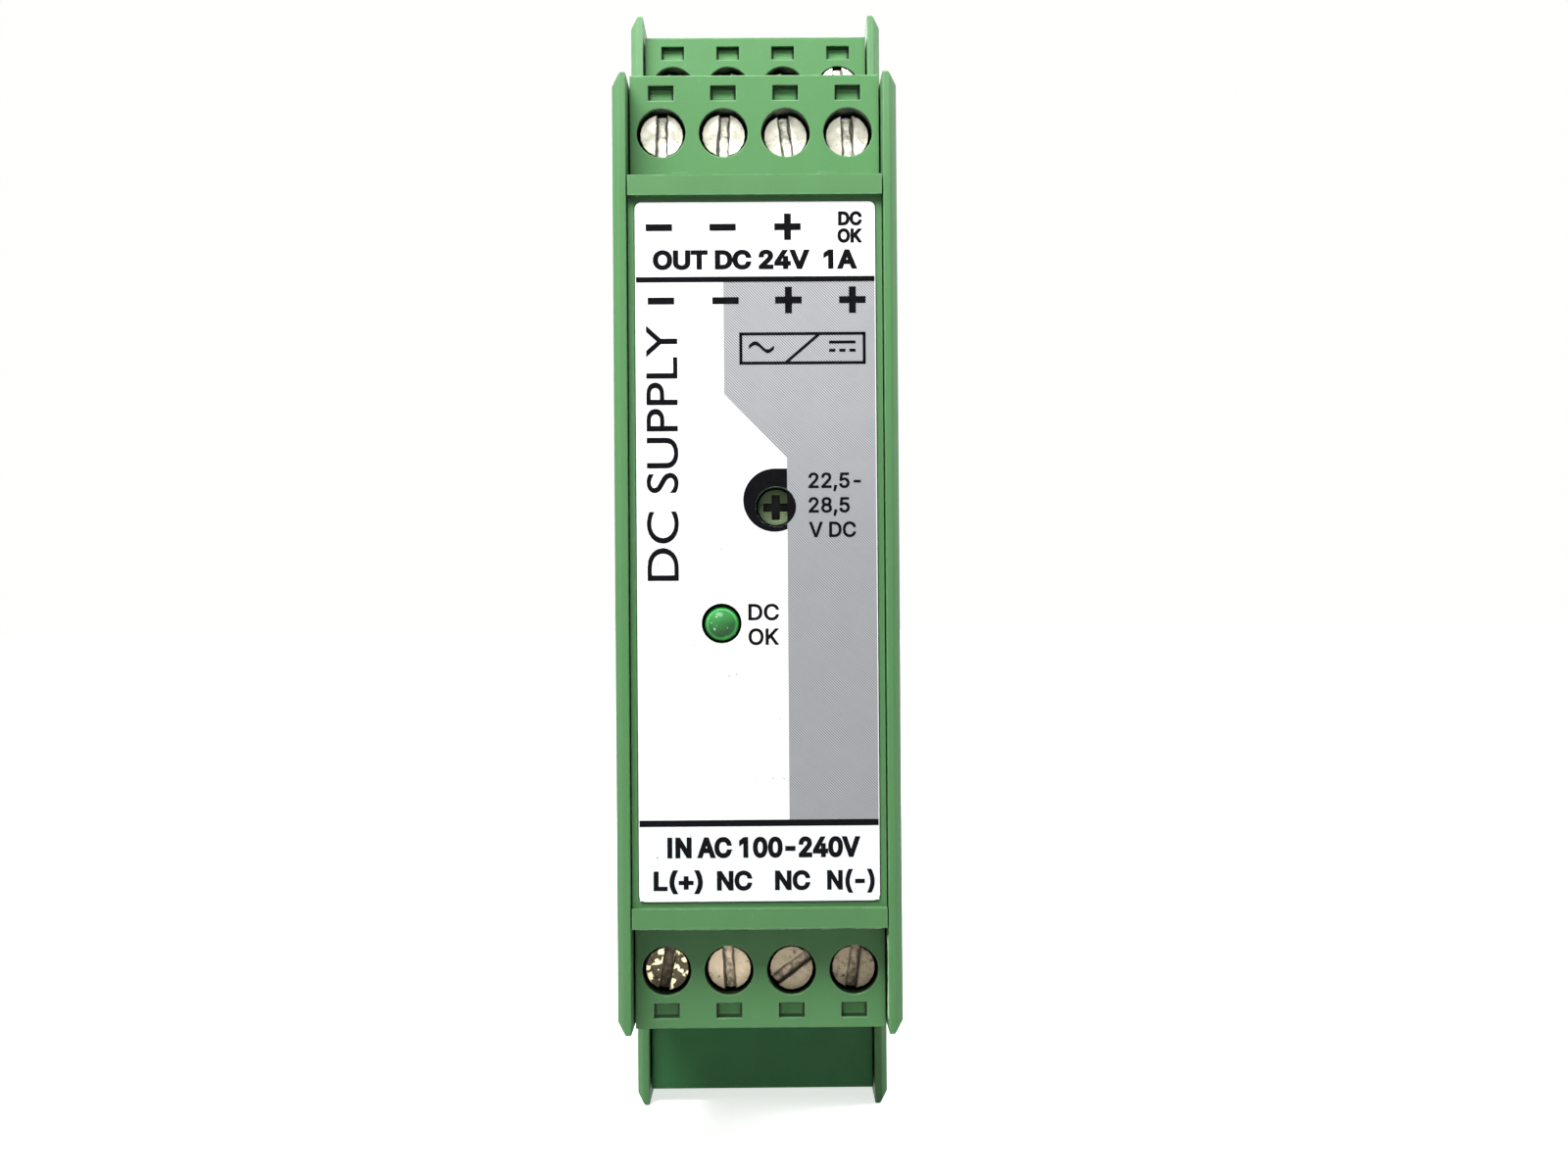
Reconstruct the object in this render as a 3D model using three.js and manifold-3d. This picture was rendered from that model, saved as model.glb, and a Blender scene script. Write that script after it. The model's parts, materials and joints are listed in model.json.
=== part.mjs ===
// A narrow power supply module for a 35 mm mounting rail: a moulded housing with two stepped rows of
// pluggable screw terminals at each end, a labelled front cover, a sprung foot latch and, inside, the
// boards and parts of a switched-mode supply.
//
// Millimetres. X runs along the rail, the front faces -Y and +Z is up. The origin is the middle of the
// face that seats on the rail.

import * as THREE from "three";
import { mergeVertices } from "three/addons/utils/BufferGeometryUtils.js";
import Module from "manifold-3d";

const wasm = await Module();
wasm.setup();

// ---------------------------------------------------------------- driving dimensions

// Clearances
const touch = 0.05; // between pieces that sit on each other
const slip = 0.2; // round pieces that slide
const seat = 0.3; // between a plug and its header

// Terminal row
const poles = 4;
const pitch = 5;
const sideGap = 0.15; // between a plug and the housing's side wall

// Housing
const depth = 107; // rail seat to the front edges of the side walls
const levelStep = 22; // front level to rear level
const frontTip = 38; // half height of the front level
const rearTip = 49.15; // half height of the rear level
const sideWall = 1.1;
const endWall = 1.6;
const rearWall = 2;
const edgeBevel = 0.5;
const tipChamferX = 0.65; // outer corner of each side wall's tip
const tipChamferZ = 1.05;
const tipProud = 2; // side walls beyond the end walls

// Rail and foot
const railWidth = 35;
const railLip = 1; // sheet thickness of the rail
const railPlay = 0.25;
const hookReach = 1.5; // how far the hook and the latch go behind the rail's lips
const hookBack = 5; // back face of the hook block
const footBack = 6.2; // back face of the foot block
const hookBlock = 16.5; // height of the hook block
const footBlock = 18; // height of the foot block
const seatRelief = 0.2; // the seat stands proud between the hook and the latch
const seatMargin = 0.2; // from the seat to the hook and the latch, along Z
const footPlay = 2.25; // space below the rail that lets the module tilt on and off
const rearCorner = 12; // sloped corner at the back of each end

// Plug
const plugDepth = 15.3;
const clampLength = 8.2;
const contactLength = 10.7;
const contactDepth = 8.5;
const contactInset = 1; // contact part narrower than the plug, each side
const frontSetback = 2.7; // plug face behind the housing's front edges
const rearSetback = 1;
const frontOvershoot = 0.4; // upper front plug beyond the tips of the front level
const lowerStep = 0.4; // the lower front plug sits deeper than the upper one
const coverLowStep = 0.22; // the cover's lower end is nearer to the middle
const rearUndershoot = 1.7; // rear plugs short of the tips of the rear level
const screwHeight = 3.6; // screw axis from the inner end of the clamp part
const boreRadius = 1.975;
const boreDepth = 3.9;
const windowWidth = 2.05;
const windowHeight = 1.2;
const windowDepth = 0.7;
const windowPlace = 6.8; // middle of the test window
const entryWidth = 3.4;
const entryHeight = 4.6;
const channelWidth = 2.4;

// Header
const headerWall = 1.5;
const pocketLength = 10; // roof and side walls of the pocket for the plug's contact part

// Terminal screw and clamp
const headRadius = 1.72;
const headThickness = 1.6;
const headRecess = 0.9;
const shankRadius = 1.25;
const shankClearance = 0.05;
const slotWidth = 0.85;
const slotDepth = 0.9;
const clampTop = 2; // threaded wall of the clamp
const clampOpening = 3.8;
const clampFloor = 0.8;
const clampSide = 0.5;
const clampWidth = 3.7;
const clampHeight = 4.4;
const clampTravel = 2;
const barTop = 10; // contact bar below the plug face

// Front cover and label
const coverSetback = 0.6;
const coverThickness = 1.8;
const barHeight = 1.6; // cross bar at each end of the cover
const coverGap = 0.35; // between the cover and the front plugs
const tabWidth = 1.5;
const tabPlace = 5.75;
const labelSideMargin = 0.55; // green left showing beside the label
const labelEndMargin = 0.5; // green left showing between the label and a cross bar
const labelPlay = 0.1;
const labelThickness = 0.25;
const labelPocket = 0.15;
const labelCorner = 0.5;
const skirtDepth = 11;
const skirtThickness = 1.1;
const lugHalf = 3;
const lugPlace = 10;
const lugDepth = 7; // lug behind the cover's face
const lugThickness = 1.6;

// Front controls
const potX = 1.5;
const potZ = 3.6;
const potSide = 6.6;
const potHole = 1.6;
const rotorRadius = 1.45;
const rotorRecess = 1.8; // rotor face behind the front edges
const ledX = -2.85;
const ledZ = -5.6;
const ledRadius = 1.48;
const ledLength = 5.3;
const ledRecess = 0.1;

// Boards
const boardThickness = 1.6;
const boardInset = 1.55; // main board from the side wall
const frontBoardPlace = 8.4; // front board behind the front edges
const boardMargin = 1.5;
const boardRoom = 0.5; // free space past the main board's stepped edge

// ---------------------------------------------------------------- derived places

const plugHalf = (poles * pitch) / 2;
const innerHalf = plugHalf + sideGap;
const outerHalf = innerHalf + sideWall;
const frontY = -depth;
const rearLevelY = frontY + levelStep;
const railHalf = railWidth / 2;
const hookTopZ = railHalf + railPlay;
const footTopZ = -railHalf - footPlay;
const gripZ = railHalf - hookReach;
const seatHalf = gripZ - seatMargin;
const gripY = railLip + 0.4;
const endZ = rearTip - tipProud;
const frontPlug = { y: frontY + frontSetback, z: frontTip + frontOvershoot - clampLength };
const lowerPlug = { y: frontPlug.y, z: frontPlug.z - lowerStep };
const rearPlug = { y: rearLevelY + rearSetback, z: rearTip - rearUndershoot - clampLength };
const headerFloorBack = plugDepth + seat + headerWall;
const headerInner = contactLength + seat + headerWall;
const roofFront = plugDepth - contactDepth - seat - headerWall;
const shelfOverlap = 0.5; // a front header's floor behind the rear row's lower wall
const floorEnd = rearPlug.z - seat - headerWall + shelfOverlap - frontPlug.z;
const coverY = frontY + coverSetback;
const coverBackY = coverY + coverThickness;
const coverHalf = frontPlug.z - coverGap;
const coverSide = innerHalf - 0.1;
const labelHalfX = coverSide - labelSideMargin;
const coverLow = -(coverHalf - coverLowStep);
const labelMidZ = coverLowStep / 2;
const labelHalfZ = coverHalf - labelMidZ - barHeight - labelEndMargin;
const skirtHalf = frontPlug.z - headerInner - boardMargin;
const boardX = -innerHalf + boardInset + boardThickness;
const poleX = (pole) => (pole - (poles - 1) / 2) * pitch;

// ---------------------------------------------------------------- materials

const finish = (color, roughness, metalness) => () =>
  new THREE.MeshStandardMaterial({ color, roughness, metalness });

const greenHousing = finish(0x4f9a55, 0.5, 0);
const greenPlug = finish(0x3f8a48, 0.45, 0);
const darkGreen = finish(0x2f6f3a, 0.5, 0);
const labelFoil = finish(0xf4f5f6, 0.4, 0);
const platedSteel = finish(0xcfcdbe, 0.35, 1);
const nickel = finish(0xb9b6a8, 0.4, 1);
const springSteel = finish(0xa8abaf, 0.3, 1);
const blackPlastic = finish(0x1f2022, 0.5, 0);
const greyPlastic = finish(0x7d8676, 0.5, 0);
const bluePlastic = finish(0x27508f, 0.4, 0);
const yellowPlastic = finish(0xd9b53a, 0.5, 0);
const boardGreen = finish(0x1e6b3c, 0.45, 0);
const ledGreen = finish(0x4fa862, 0.2, 0);
const ferrite = finish(0x2c2d30, 0.6, 0);
const tapeYellow = finish(0xe0c24a, 0.5, 0);
const aluminium = finish(0xc4c7cb, 0.4, 1);
const sleeveBlack = finish(0x22252b, 0.35, 0);
const ceramic = finish(0xd8d2c2, 0.6, 0);

// ---------------------------------------------------------------- geometry helpers

const box = (x0, x1, y0, y1, z0, z1) => {
  const geometry = new THREE.BoxGeometry(x1 - x0, y1 - y0, z1 - z0);
  return geometry.translate((x0 + x1) / 2, (y0 + y1) / 2, (z0 + z1) / 2);
};

// A box that is centred across the rail.
const slab = (halfX, y0, y1, z0, z1) => box(-halfX, halfX, y0, y1, z0, z1);

const outline = (points) => new THREE.Shape(points.map(([u, v]) => new THREE.Vector2(u, v)));

const axesOf = (u, v, w) => new THREE.Matrix4().makeBasis(
  new THREE.Vector3(...u), new THREE.Vector3(...v), new THREE.Vector3(...w));

// An outline in (Y, Z), extruded along X. The bevel runs round both end faces.
const alongX = (points, x0, x1, bevel = 0) => {
  const geometry = new THREE.ExtrudeGeometry(outline(points), {
    depth: x1 - x0 - 2 * bevel,
    bevelEnabled: bevel > 0,
    bevelSegments: 1,
    bevelThickness: bevel,
    bevelSize: bevel,
    bevelOffset: -bevel,
  });
  geometry.applyMatrix4(axesOf([0, 1, 0], [0, 0, 1], [1, 0, 0]));
  return geometry.translate(x0 + bevel, 0, 0);
};

// A shape in (X, Z), extruded along Y.
const alongY = (shape, y0, y1, curveSegments = 6) => {
  const geometry = new THREE.ExtrudeGeometry(shape, { depth: y1 - y0, bevelEnabled: false, curveSegments });
  geometry.applyMatrix4(axesOf([1, 0, 0], [0, 0, 1], [0, -1, 0]));
  return geometry.translate(0, y1, 0);
};

const rodY = (radius, y0, y1, x = 0, z = 0, sides = 20) =>
  new THREE.CylinderGeometry(radius, radius, y1 - y0, sides).translate(x, (y0 + y1) / 2, z);

const rodX = (radius, x0, x1, y, z, sides = 24) =>
  new THREE.CylinderGeometry(radius, radius, x1 - x0, sides).rotateZ(Math.PI / 2)
    .translate((x0 + x1) / 2, y, z);

const rodZ = (radius, z0, z1, x, y, sides = 24) =>
  new THREE.CylinderGeometry(radius, radius, z1 - z0, sides).rotateX(Math.PI / 2)
    .translate(x, y, (z0 + z1) / 2);

const roundedRectangle = (halfX, halfZ, radius) => {
  const shape = new THREE.Shape();
  shape.moveTo(-halfX + radius, -halfZ);
  shape.lineTo(halfX - radius, -halfZ);
  shape.absarc(halfX - radius, -halfZ + radius, radius, -Math.PI / 2, 0);
  shape.absarc(halfX - radius, halfZ - radius, radius, 0, Math.PI / 2);
  shape.absarc(-halfX + radius, halfZ - radius, radius, Math.PI / 2, Math.PI);
  shape.absarc(-halfX + radius, -halfZ + radius, radius, Math.PI, Math.PI * 1.5);
  return shape;
};

const toManifold = (geometry) => {
  const bare = geometry.clone();
  bare.deleteAttribute("normal");
  bare.deleteAttribute("uv");
  const merged = mergeVertices(bare);
  return new wasm.Manifold(new wasm.Mesh({
    numProp: 3,
    vertProperties: merged.attributes.position.array,
    triVerts: Uint32Array.from(merged.index.array),
  }));
};

const toGeometry = (manifold) => {
  const mesh = manifold.getMesh();
  const geometry = new THREE.BufferGeometry();
  geometry.setAttribute("position", new THREE.BufferAttribute(mesh.vertProperties, 3));
  geometry.setIndex(new THREE.BufferAttribute(mesh.triVerts, 1));
  geometry.computeVertexNormals();
  return geometry;
};

// Joins the additions to the base, then takes the cuts away.
const build = (base, { add = [], cut = [] }) => {
  let body = toManifold(base);
  for (const extra of add) body = body.add(toManifold(extra));
  for (const tool of cut) body = body.subtract(toManifold(tool));
  return toGeometry(body);
};

const piece = (name, geometry, material) => {
  const mesh = new THREE.Mesh(geometry, material());
  mesh.name = name;
  return mesh;
};

// ---------------------------------------------------------------- housing

// Side view of the housing, front to the left, going round from the front's lower tip.
const housingProfile = () => [
  [frontY, -frontTip],
  [rearLevelY, -frontTip],
  [rearLevelY, -rearTip],
  [footBack - rearCorner, -rearTip],
  [footBack, footTopZ - footBlock],
  [footBack, footTopZ],
  [-seatRelief, footTopZ],
  [-seatRelief, -seatHalf],
  [0, -seatHalf],
  [0, seatHalf],
  [-seatRelief, seatHalf],
  [-seatRelief, hookTopZ],
  [gripY, hookTopZ],
  [gripY, gripZ],
  [hookBack, gripZ],
  [hookBack, hookTopZ + hookBlock],
  [hookBack - rearCorner, rearTip],
  [rearLevelY, rearTip],
  [rearLevelY, frontTip],
  [frontY, frontTip],
];

const cavityEnd = endZ - endWall;
const headerRowInner = headerInner + boardMargin;
const boardStepHalf = rearPlug.z - headerRowInner; // half height of the main board between the rear headers
const boardStepY = Math.max(frontPlug.y + headerFloorBack, rearLevelY) + boardMargin;
const endRecessBack = 2 - rearCorner;
const frontPocketY = frontPlug.y + headerFloorBack + touch;
const rearPocketY = rearPlug.y + headerFloorBack + touch;
const latchHalf = 5;
const latchThickness = 3.2;
const latchFront = gripY;
const latchBack = latchFront + latchThickness;
const tunnelHalf = latchHalf + slip;
const tunnelFront = latchFront - slip;
const tunnelBack = latchBack + slip;

// The space between the side walls that holds the boards.
const cavityProfile = () => [
  [frontY - 1, -coverHalf],
  [rearLevelY, -coverHalf],
  [rearPocketY, -cavityEnd],
  [footBack - rearCorner - endWall, -cavityEnd],
  [-rearWall, -rearTip + rearCorner + endWall],
  [-rearWall, hookTopZ + rearWall],
  [hookBack - rearWall, hookTopZ + rearWall],
  [hookBack - rearWall, hookTopZ + hookBlock - 1],
  [hookBack - rearCorner - endWall, cavityEnd],
  [rearPocketY, cavityEnd],
  [rearLevelY, coverHalf],
  [frontY - 1, coverHalf],
];

// The room for the two rows of plugs and headers at one end, and the shallow recess behind them.
const connectorBay = (side) => [
  slab(innerHalf, frontY - 1, frontPocketY,
    ...sorted(side * (frontPlug.z - headerInner - 1), side * (frontTip + 1))),
  slab(innerHalf, frontPocketY - 1, rearPocketY,
    ...sorted(side * (rearPlug.z - headerInner - 1), side * (rearTip + 1))),
  slab(innerHalf, rearPocketY - 1, endRecessBack, ...sorted(side * endZ, side * (rearTip + 1))),
];

// Takes the outer corner off a side wall's tip.
const tipChamfer = (side, tip, y0, y1) => {
  const end = Math.sign(tip);
  const x = (offset) => side * (outerHalf + offset);
  const z = (offset) => tip + end * offset;
  const corner = outline([
    [x(-2 * tipChamferX), z(tipChamferZ)],
    [x(tipChamferX), z(-2 * tipChamferZ)],
    [x(2), z(2)],
  ]);
  return alongY(corner, y0, y1);
};

const tipChamfers = () => [-1, 1].flatMap((side) => [-1, 1].flatMap((end) => [
  tipChamfer(side, end * frontTip, frontY - 1, rearLevelY),
  tipChamfer(side, end * rearTip, rearLevelY - 1, endRecessBack),
]));

const sorted = (a, b) => [Math.min(a, b), Math.max(a, b)];

const ventCount = 8;
const ventPitch = 5;
const ventStart = 6; // first slot behind the rear row's header
const ventWidth = 1.8;
const ventHalf = 7.5;

const ventSlots = (side) => Array.from({ length: ventCount }, (_, index) => {
  const middle = rearPocketY + ventStart + index * ventPitch;
  return slab(ventHalf, middle - ventWidth / 2, middle + ventWidth / 2,
    ...sorted(side * (cavityEnd - 1), side * (rearTip + 1)));
});

const lugY = coverY + lugDepth;

const lugWindows = () => [-1, 1].flatMap((side) => [-1, 1].map((end) =>
  box(...sorted(side * (innerHalf - 1), side * (outerHalf + 1)),
    lugY - lugThickness / 2 - slip, lugY + lugThickness / 2 + slip,
    end * lugPlace - lugHalf - slip, end * lugPlace + lugHalf + slip)));

const springRoom = 11.7; // from the post to the top of the latch's window
const springTopZ = footTopZ - 3.25;
const postTopZ = springTopZ - springRoom;
const postHeight = 1.3;
const postHalf = 1.2;

const housing = () => build(alongX(housingProfile(), -outerHalf, outerHalf, edgeBevel), {
  cut: [
    alongX(cavityProfile(), -innerHalf, innerHalf),
    slab(innerHalf, boardStepY - boardRoom, rearPocketY, -boardStepHalf - boardRoom, boardStepHalf + boardRoom),
    ...connectorBay(1),
    ...connectorBay(-1),
    ...ventSlots(1),
    ...ventSlots(-1),
    ...lugWindows(),
    ...latchTunnel(),
    ...tipChamfers(),
  ],
});

// The tunnel goes round a post that the latch's spring pushes against.
const latchTunnel = () => {
  const low = -rearTip - 1;
  const high = footTopZ + 1;
  return [
    slab(tunnelHalf, tunnelFront, tunnelBack, postTopZ, high),
    slab(tunnelHalf, tunnelFront, tunnelBack, low, postTopZ - postHeight),
    box(-tunnelHalf, -postHalf, tunnelFront, tunnelBack, low, high),
    box(postHalf, tunnelHalf, tunnelFront, tunnelBack, low, high),
  ];
};

// ---------------------------------------------------------------- foot latch and spring

const latchLowZ = postTopZ - 11.3;
const latchWindowHalf = 1.6;
const pullSlotHalf = 2.2;
const pullSlotHeight = 2.2;
const pullSlotEdge = 1.4;

const latch = () => {
  const profile = [
    [latchFront, latchLowZ],
    [latchBack, latchLowZ],
    [latchBack, -gripZ - latchThickness],
    [latchFront + 0.4, -gripZ],
    [latchFront, -gripZ],
  ];
  return build(alongX(profile, -latchHalf, latchHalf), {
    cut: [
      slab(latchWindowHalf, latchFront - 1, latchBack + 1, postTopZ - postHeight - slip, springTopZ),
      slab(pullSlotHalf, latchFront - 1, latchBack + 1,
        latchLowZ + pullSlotEdge, latchLowZ + pullSlotEdge + pullSlotHeight),
    ],
  });
};

const springRadius = 1.1;
const springWire = 0.42;
const springTurns = 7;

class Helix extends THREE.Curve {
  constructor(radius, height, turns) {
    super();
    this.radius = radius;
    this.height = height;
    this.turns = turns;
  }

  getPoint(t, target = new THREE.Vector3()) {
    const angle = t * this.turns * 2 * Math.PI;
    return target.set(this.radius * Math.cos(angle), this.radius * Math.sin(angle), this.height * t);
  }
}

const spring = () => {
  const low = postTopZ + seat;
  const high = springTopZ - seat;
  const section = new THREE.Shape();
  section.absarc(0, 0, springWire / 2, 0, 2 * Math.PI);
  const path = new Helix(springRadius, high - low - springWire, springTurns);
  const coil = new THREE.ExtrudeGeometry(section,
    { steps: springTurns * 10, curveSegments: 3, extrudePath: path });
  return coil.translate(0, (latchFront + latchBack) / 2, low + springWire / 2);
};

// ---------------------------------------------------------------- front cover and label

const potHoleAt = (y0, y1) => rodY(potHole, y0, y1, potX, potZ, 32);
const ledHoleAt = (y0, y1) => rodY(ledRadius + 0.1, y0, y1, ledX, ledZ, 32);

const cover = () => {
  const plate = slab(coverSide, coverY, coverBackY, coverLow, coverHalf);
  const endWallBack = frontPlug.y + roofFront - seat;
  const bars = [
    slab(coverSide, frontY, endWallBack, coverHalf - barHeight, coverHalf),
    slab(coverSide, frontY, endWallBack, coverLow, coverLow + barHeight),
  ];
  const tabs = [-1, 1].map((side) =>
    box(side * tabPlace - tabWidth / 2, side * tabPlace + tabWidth / 2,
      coverY, frontPlug.y + 2, coverHalf - barHeight / 2, coverHalf + coverGap - touch));
  const skirts = [-1, 1].map((side) =>
    box(...sorted(side * (coverSide - skirtThickness), side * coverSide),
      coverBackY - 1, coverY + skirtDepth, -skirtHalf, skirtHalf));
  const lugs = [-1, 1].flatMap((side) => [-1, 1].map((end) =>
    box(...sorted(side * (coverSide - skirtThickness / 2), side * (outerHalf - 0.3)),
      lugY - lugThickness / 2, lugY + lugThickness / 2,
      end * lugPlace - lugHalf, end * lugPlace + lugHalf)));
  const pocket = alongY(roundedRectangle(labelHalfX + labelPlay, labelHalfZ + labelPlay, labelCorner),
    coverY - 1, coverY + labelPocket).translate(0, 0, labelMidZ);
  return build(plate, {
    add: [...bars, ...tabs, ...skirts, ...lugs],
    cut: [pocket, potHoleAt(coverY - 1, coverBackY + 1), ledHoleAt(coverY - 1, coverBackY + 1)],
  });
};

const label = () => {
  const back = coverY + labelPocket - touch;
  const sheet = alongY(roundedRectangle(labelHalfX, labelHalfZ, labelCorner), back - labelThickness, back)
    .translate(0, 0, labelMidZ);
  return build(sheet, {
    cut: [potHoleAt(back - 1, back + 1), ledHoleAt(back - 1, back + 1)],
  });
};

// Closes the lower rear row, where no terminals are fitted.
const blank = () => {
  const outer = -(rearPlug.z + clampLength + 0.5);
  const inner = -(rearPlug.z - touch);
  const face = rearPlug.y;
  const half = innerHalf - 0.1;
  return build(slab(half, face, face + endWall, outer, inner + endWall), {
    add: [
      slab(half, face, rearPocketY - touch, outer, outer + endWall),
      slab(half, frontPocketY, face + endWall, inner, inner + endWall),
    ],
  });
};

// ---------------------------------------------------------------- plug, header, screw and clamp
// Their own frame: X across the poles, Y inward from the plug's face, Z outward from the inner end of
// the clamp part.

const screwTip = barTop - 0.7;
const clampLow = screwTip + clampOpening + clampFloor;
const clampHigh = screwTip - clampTop;
const clampRoomTop = clampHigh - clampTravel - seat;
const barThickness = 0.8;
const barPlay = 1.1; // channel round the contact bar

const plug = () => {
  const contactTop = plugDepth - contactDepth;
  const profile = [
    [0, 0],
    [contactTop, 0],
    [contactTop, -contactLength],
    [plugDepth, -contactLength],
    [plugDepth, clampLength],
    [0, clampLength],
  ];
  const sides = [-1, 1].map((side) =>
    box(...sorted(side * (plugHalf - contactInset), side * (plugHalf + 1)),
      -1, plugDepth + 1, -contactLength - 1, 0));
  const cavityHalf = clampWidth / 2 + slip;
  const perPole = Array.from({ length: poles }, (_, pole) => {
    const x = poleX(pole);
    const across = (half) => [x - half, x + half];
    return [
      rodY(boreRadius, -1, boreDepth, x, screwHeight, 24),
      rodY(shankRadius + slip, boreDepth - 1, clampRoomTop + 1, x, screwHeight, 16),
      box(...across(cavityHalf), clampRoomTop, clampLow + seat,
        screwHeight - clampHeight / 2 - seat, screwHeight + clampHeight / 2 + seat),
      box(...across(entryWidth / 2), clampLow - clampFloor - entryHeight, clampLow - clampFloor,
        screwHeight, clampLength + 1),
      box(...across(channelWidth / 2), barTop - barPlay, barTop + barThickness + barPlay,
        -contactLength - 1, screwHeight),
      box(...across(windowWidth / 2), -1, windowDepth,
        windowPlace - windowHeight / 2, windowPlace + windowHeight / 2),
    ];
  });
  return build(alongX(profile, -plugHalf, plugHalf), { cut: [...sides, ...perPole.flat()] });
};

// The apron closes the step up to the next level, on the rear row only.
const header = (apronFront) => {
  const rear = apronFront !== undefined;
  const low = -headerInner;
  const pocketEnd = low + pocketLength;
  const inside = plugHalf - contactInset + seat;
  const floor = slab(plugHalf, plugDepth + seat, headerFloorBack, low, rear ? clampLength - 0.6 : floorEnd);
  const add = [
    slab(plugHalf, roofFront, headerFloorBack, low, low + headerWall),
    slab(plugHalf, roofFront, roofFront + headerWall, low, rear ? -seat : pocketEnd),
    ...[-1, 1].map((side) =>
      box(...sorted(side * inside, side * plugHalf), roofFront, headerFloorBack, low, pocketEnd)),
  ];
  if (rear) {
    add.push(slab(plugHalf, apronFront, roofFront + headerWall, -seat - headerWall, -seat));
  }
  return build(floor, { add });
};

const screw = () => build(rodY(headRadius, headRecess, headRecess + headThickness), {
  add: [rodY(shankRadius, headRecess + headThickness / 2, screwTip, 0, 0, 16)],
  cut: [slab(slotWidth / 2, headRecess - 1, headRecess + slotDepth, -headRadius - 1, headRadius + 1)],
});

const clamp = () => {
  const half = clampWidth / 2;
  return build(slab(half, clampHigh, clampLow, -clampHeight / 2, clampHeight / 2), {
    cut: [
      slab(half - clampSide, screwTip, screwTip + clampOpening, -clampHeight, clampHeight),
      rodY(shankRadius + shankClearance, clampHigh - 1, screwTip + 1),
    ],
  });
};

// Slot angles are turns of the screws about Y, in degrees; sinks are how deep each sits in its bore.
const row = (name, place, turned, slotAngles, sinks, apronFront) => {
  const group = new THREE.Group();
  group.add(piece(`${name}_plug`, plug(), greenPlug));
  group.add(piece(`${name}_header`, header(apronFront), darkGreen));
  for (let pole = 0; pole < poles; pole += 1) {
    const head = piece(`${name}_screw_${pole + 1}`, screw(), platedSteel);
    head.position.set(poleX(pole), sinks[pole], screwHeight);
    head.rotation.y = THREE.MathUtils.degToRad(slotAngles[pole]);
    const cage = piece(`${name}_clamp_${pole + 1}`, clamp(), nickel);
    cage.position.set(poleX(pole), 0, screwHeight);
    group.add(head, cage);
  }
  group.position.set(0, place.y, turned ? -place.z : place.z);
  if (turned) group.rotation.y = Math.PI;
  return group;
};

// ---------------------------------------------------------------- boards and front controls

const boardTailHalf = 31.5; // half height of the main board's back edge

const board = () => {
  const frontHalf = frontPlug.z - headerRowInner;
  const frontEdge = frontY + frontBoardPlace + boardThickness + touch;
  const backEdge = rearPlug.y + headerFloorBack + boardMargin;
  const tailEdge = -rearWall - boardMargin;
  const wide = cavityEnd - boardMargin;
  const shoulder = footBack - rearCorner - 2 * boardMargin - endWall;
  const profile = [
    [frontEdge, -frontHalf],
    [boardStepY, -frontHalf],
    [boardStepY, -boardStepHalf],
    [backEdge, -boardStepHalf],
    [backEdge, -wide],
    [shoulder, -wide],
    [tailEdge, -boardTailHalf],
    [tailEdge, boardTailHalf],
    [shoulder, wide],
    [backEdge, wide],
    [backEdge, boardStepHalf],
    [boardStepY, boardStepHalf],
    [boardStepY, frontHalf],
    [frontEdge, frontHalf],
  ];
  return alongX(profile, boardX - boardThickness, boardX);
};

const frontBoard = () => slab(coverSide - skirtThickness - 0.4, frontY + frontBoardPlace,
  frontY + frontBoardPlace + boardThickness, boardMargin - skirtHalf, skirtHalf - boardMargin);

const potFaceY = coverBackY + 1;
const potPocket = 1.1;
const crossHalf = 0.32; // half width of the rotor's cross slot
const crossReach = 1;
const crossDepth = 1.2;

const potBody = () => build(
  box(potX - potSide / 2, potX + potSide / 2, potFaceY, frontY + frontBoardPlace - touch,
    potZ - potSide / 2, potZ + potSide / 2),
  { cut: [rodY(rotorRadius + slip, potFaceY - 1, potFaceY + potPocket, 0, 0, 24).translate(potX, 0, potZ)] });

const potRotor = () => {
  const top = frontY + rotorRecess;
  return build(rodY(rotorRadius, top, potFaceY + potPocket - touch, 0, 0, 24), {
    cut: [
      slab(crossHalf, top - 1, top + crossDepth, -crossReach, crossReach),
      slab(crossReach, top - 1, top + crossDepth, -crossHalf, crossHalf),
    ],
  });
};

const led = () => {
  const tip = frontY + ledRecess;
  const base = tip + ledLength;
  const profile = [new THREE.Vector2(0, base)];
  profile.push(new THREE.Vector2(ledRadius + 0.35, base));
  profile.push(new THREE.Vector2(ledRadius + 0.35, base - 1));
  profile.push(new THREE.Vector2(ledRadius, base - 1));
  const domeSteps = 5;
  for (let step = 0; step <= domeSteps; step += 1) {
    const angle = (step / domeSteps) * (Math.PI / 2);
    const radius = step === domeSteps ? 0 : ledRadius * Math.cos(angle);
    profile.push(new THREE.Vector2(radius, tip + ledRadius * (1 - Math.sin(angle))));
  }
  return new THREE.LatheGeometry(profile.reverse(), 24).translate(ledX, 0, ledZ);
};

// ---------------------------------------------------------------- parts on the main board

const lift = 0.1; // parts above the board's face
const floorX = boardX + lift;

// Transformer: its own frame is centred on the centre leg, with the winding's axis along Z.
const coreHalf = 10;
const coreLeg = 3;
const coreCentre = 2.75;
const coreThickness = 6;
const bobbinWall = 0.8;
const bobbinHalf = coreHalf - coreLeg - seat;
const flangeHalfX = 7.4;

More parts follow.
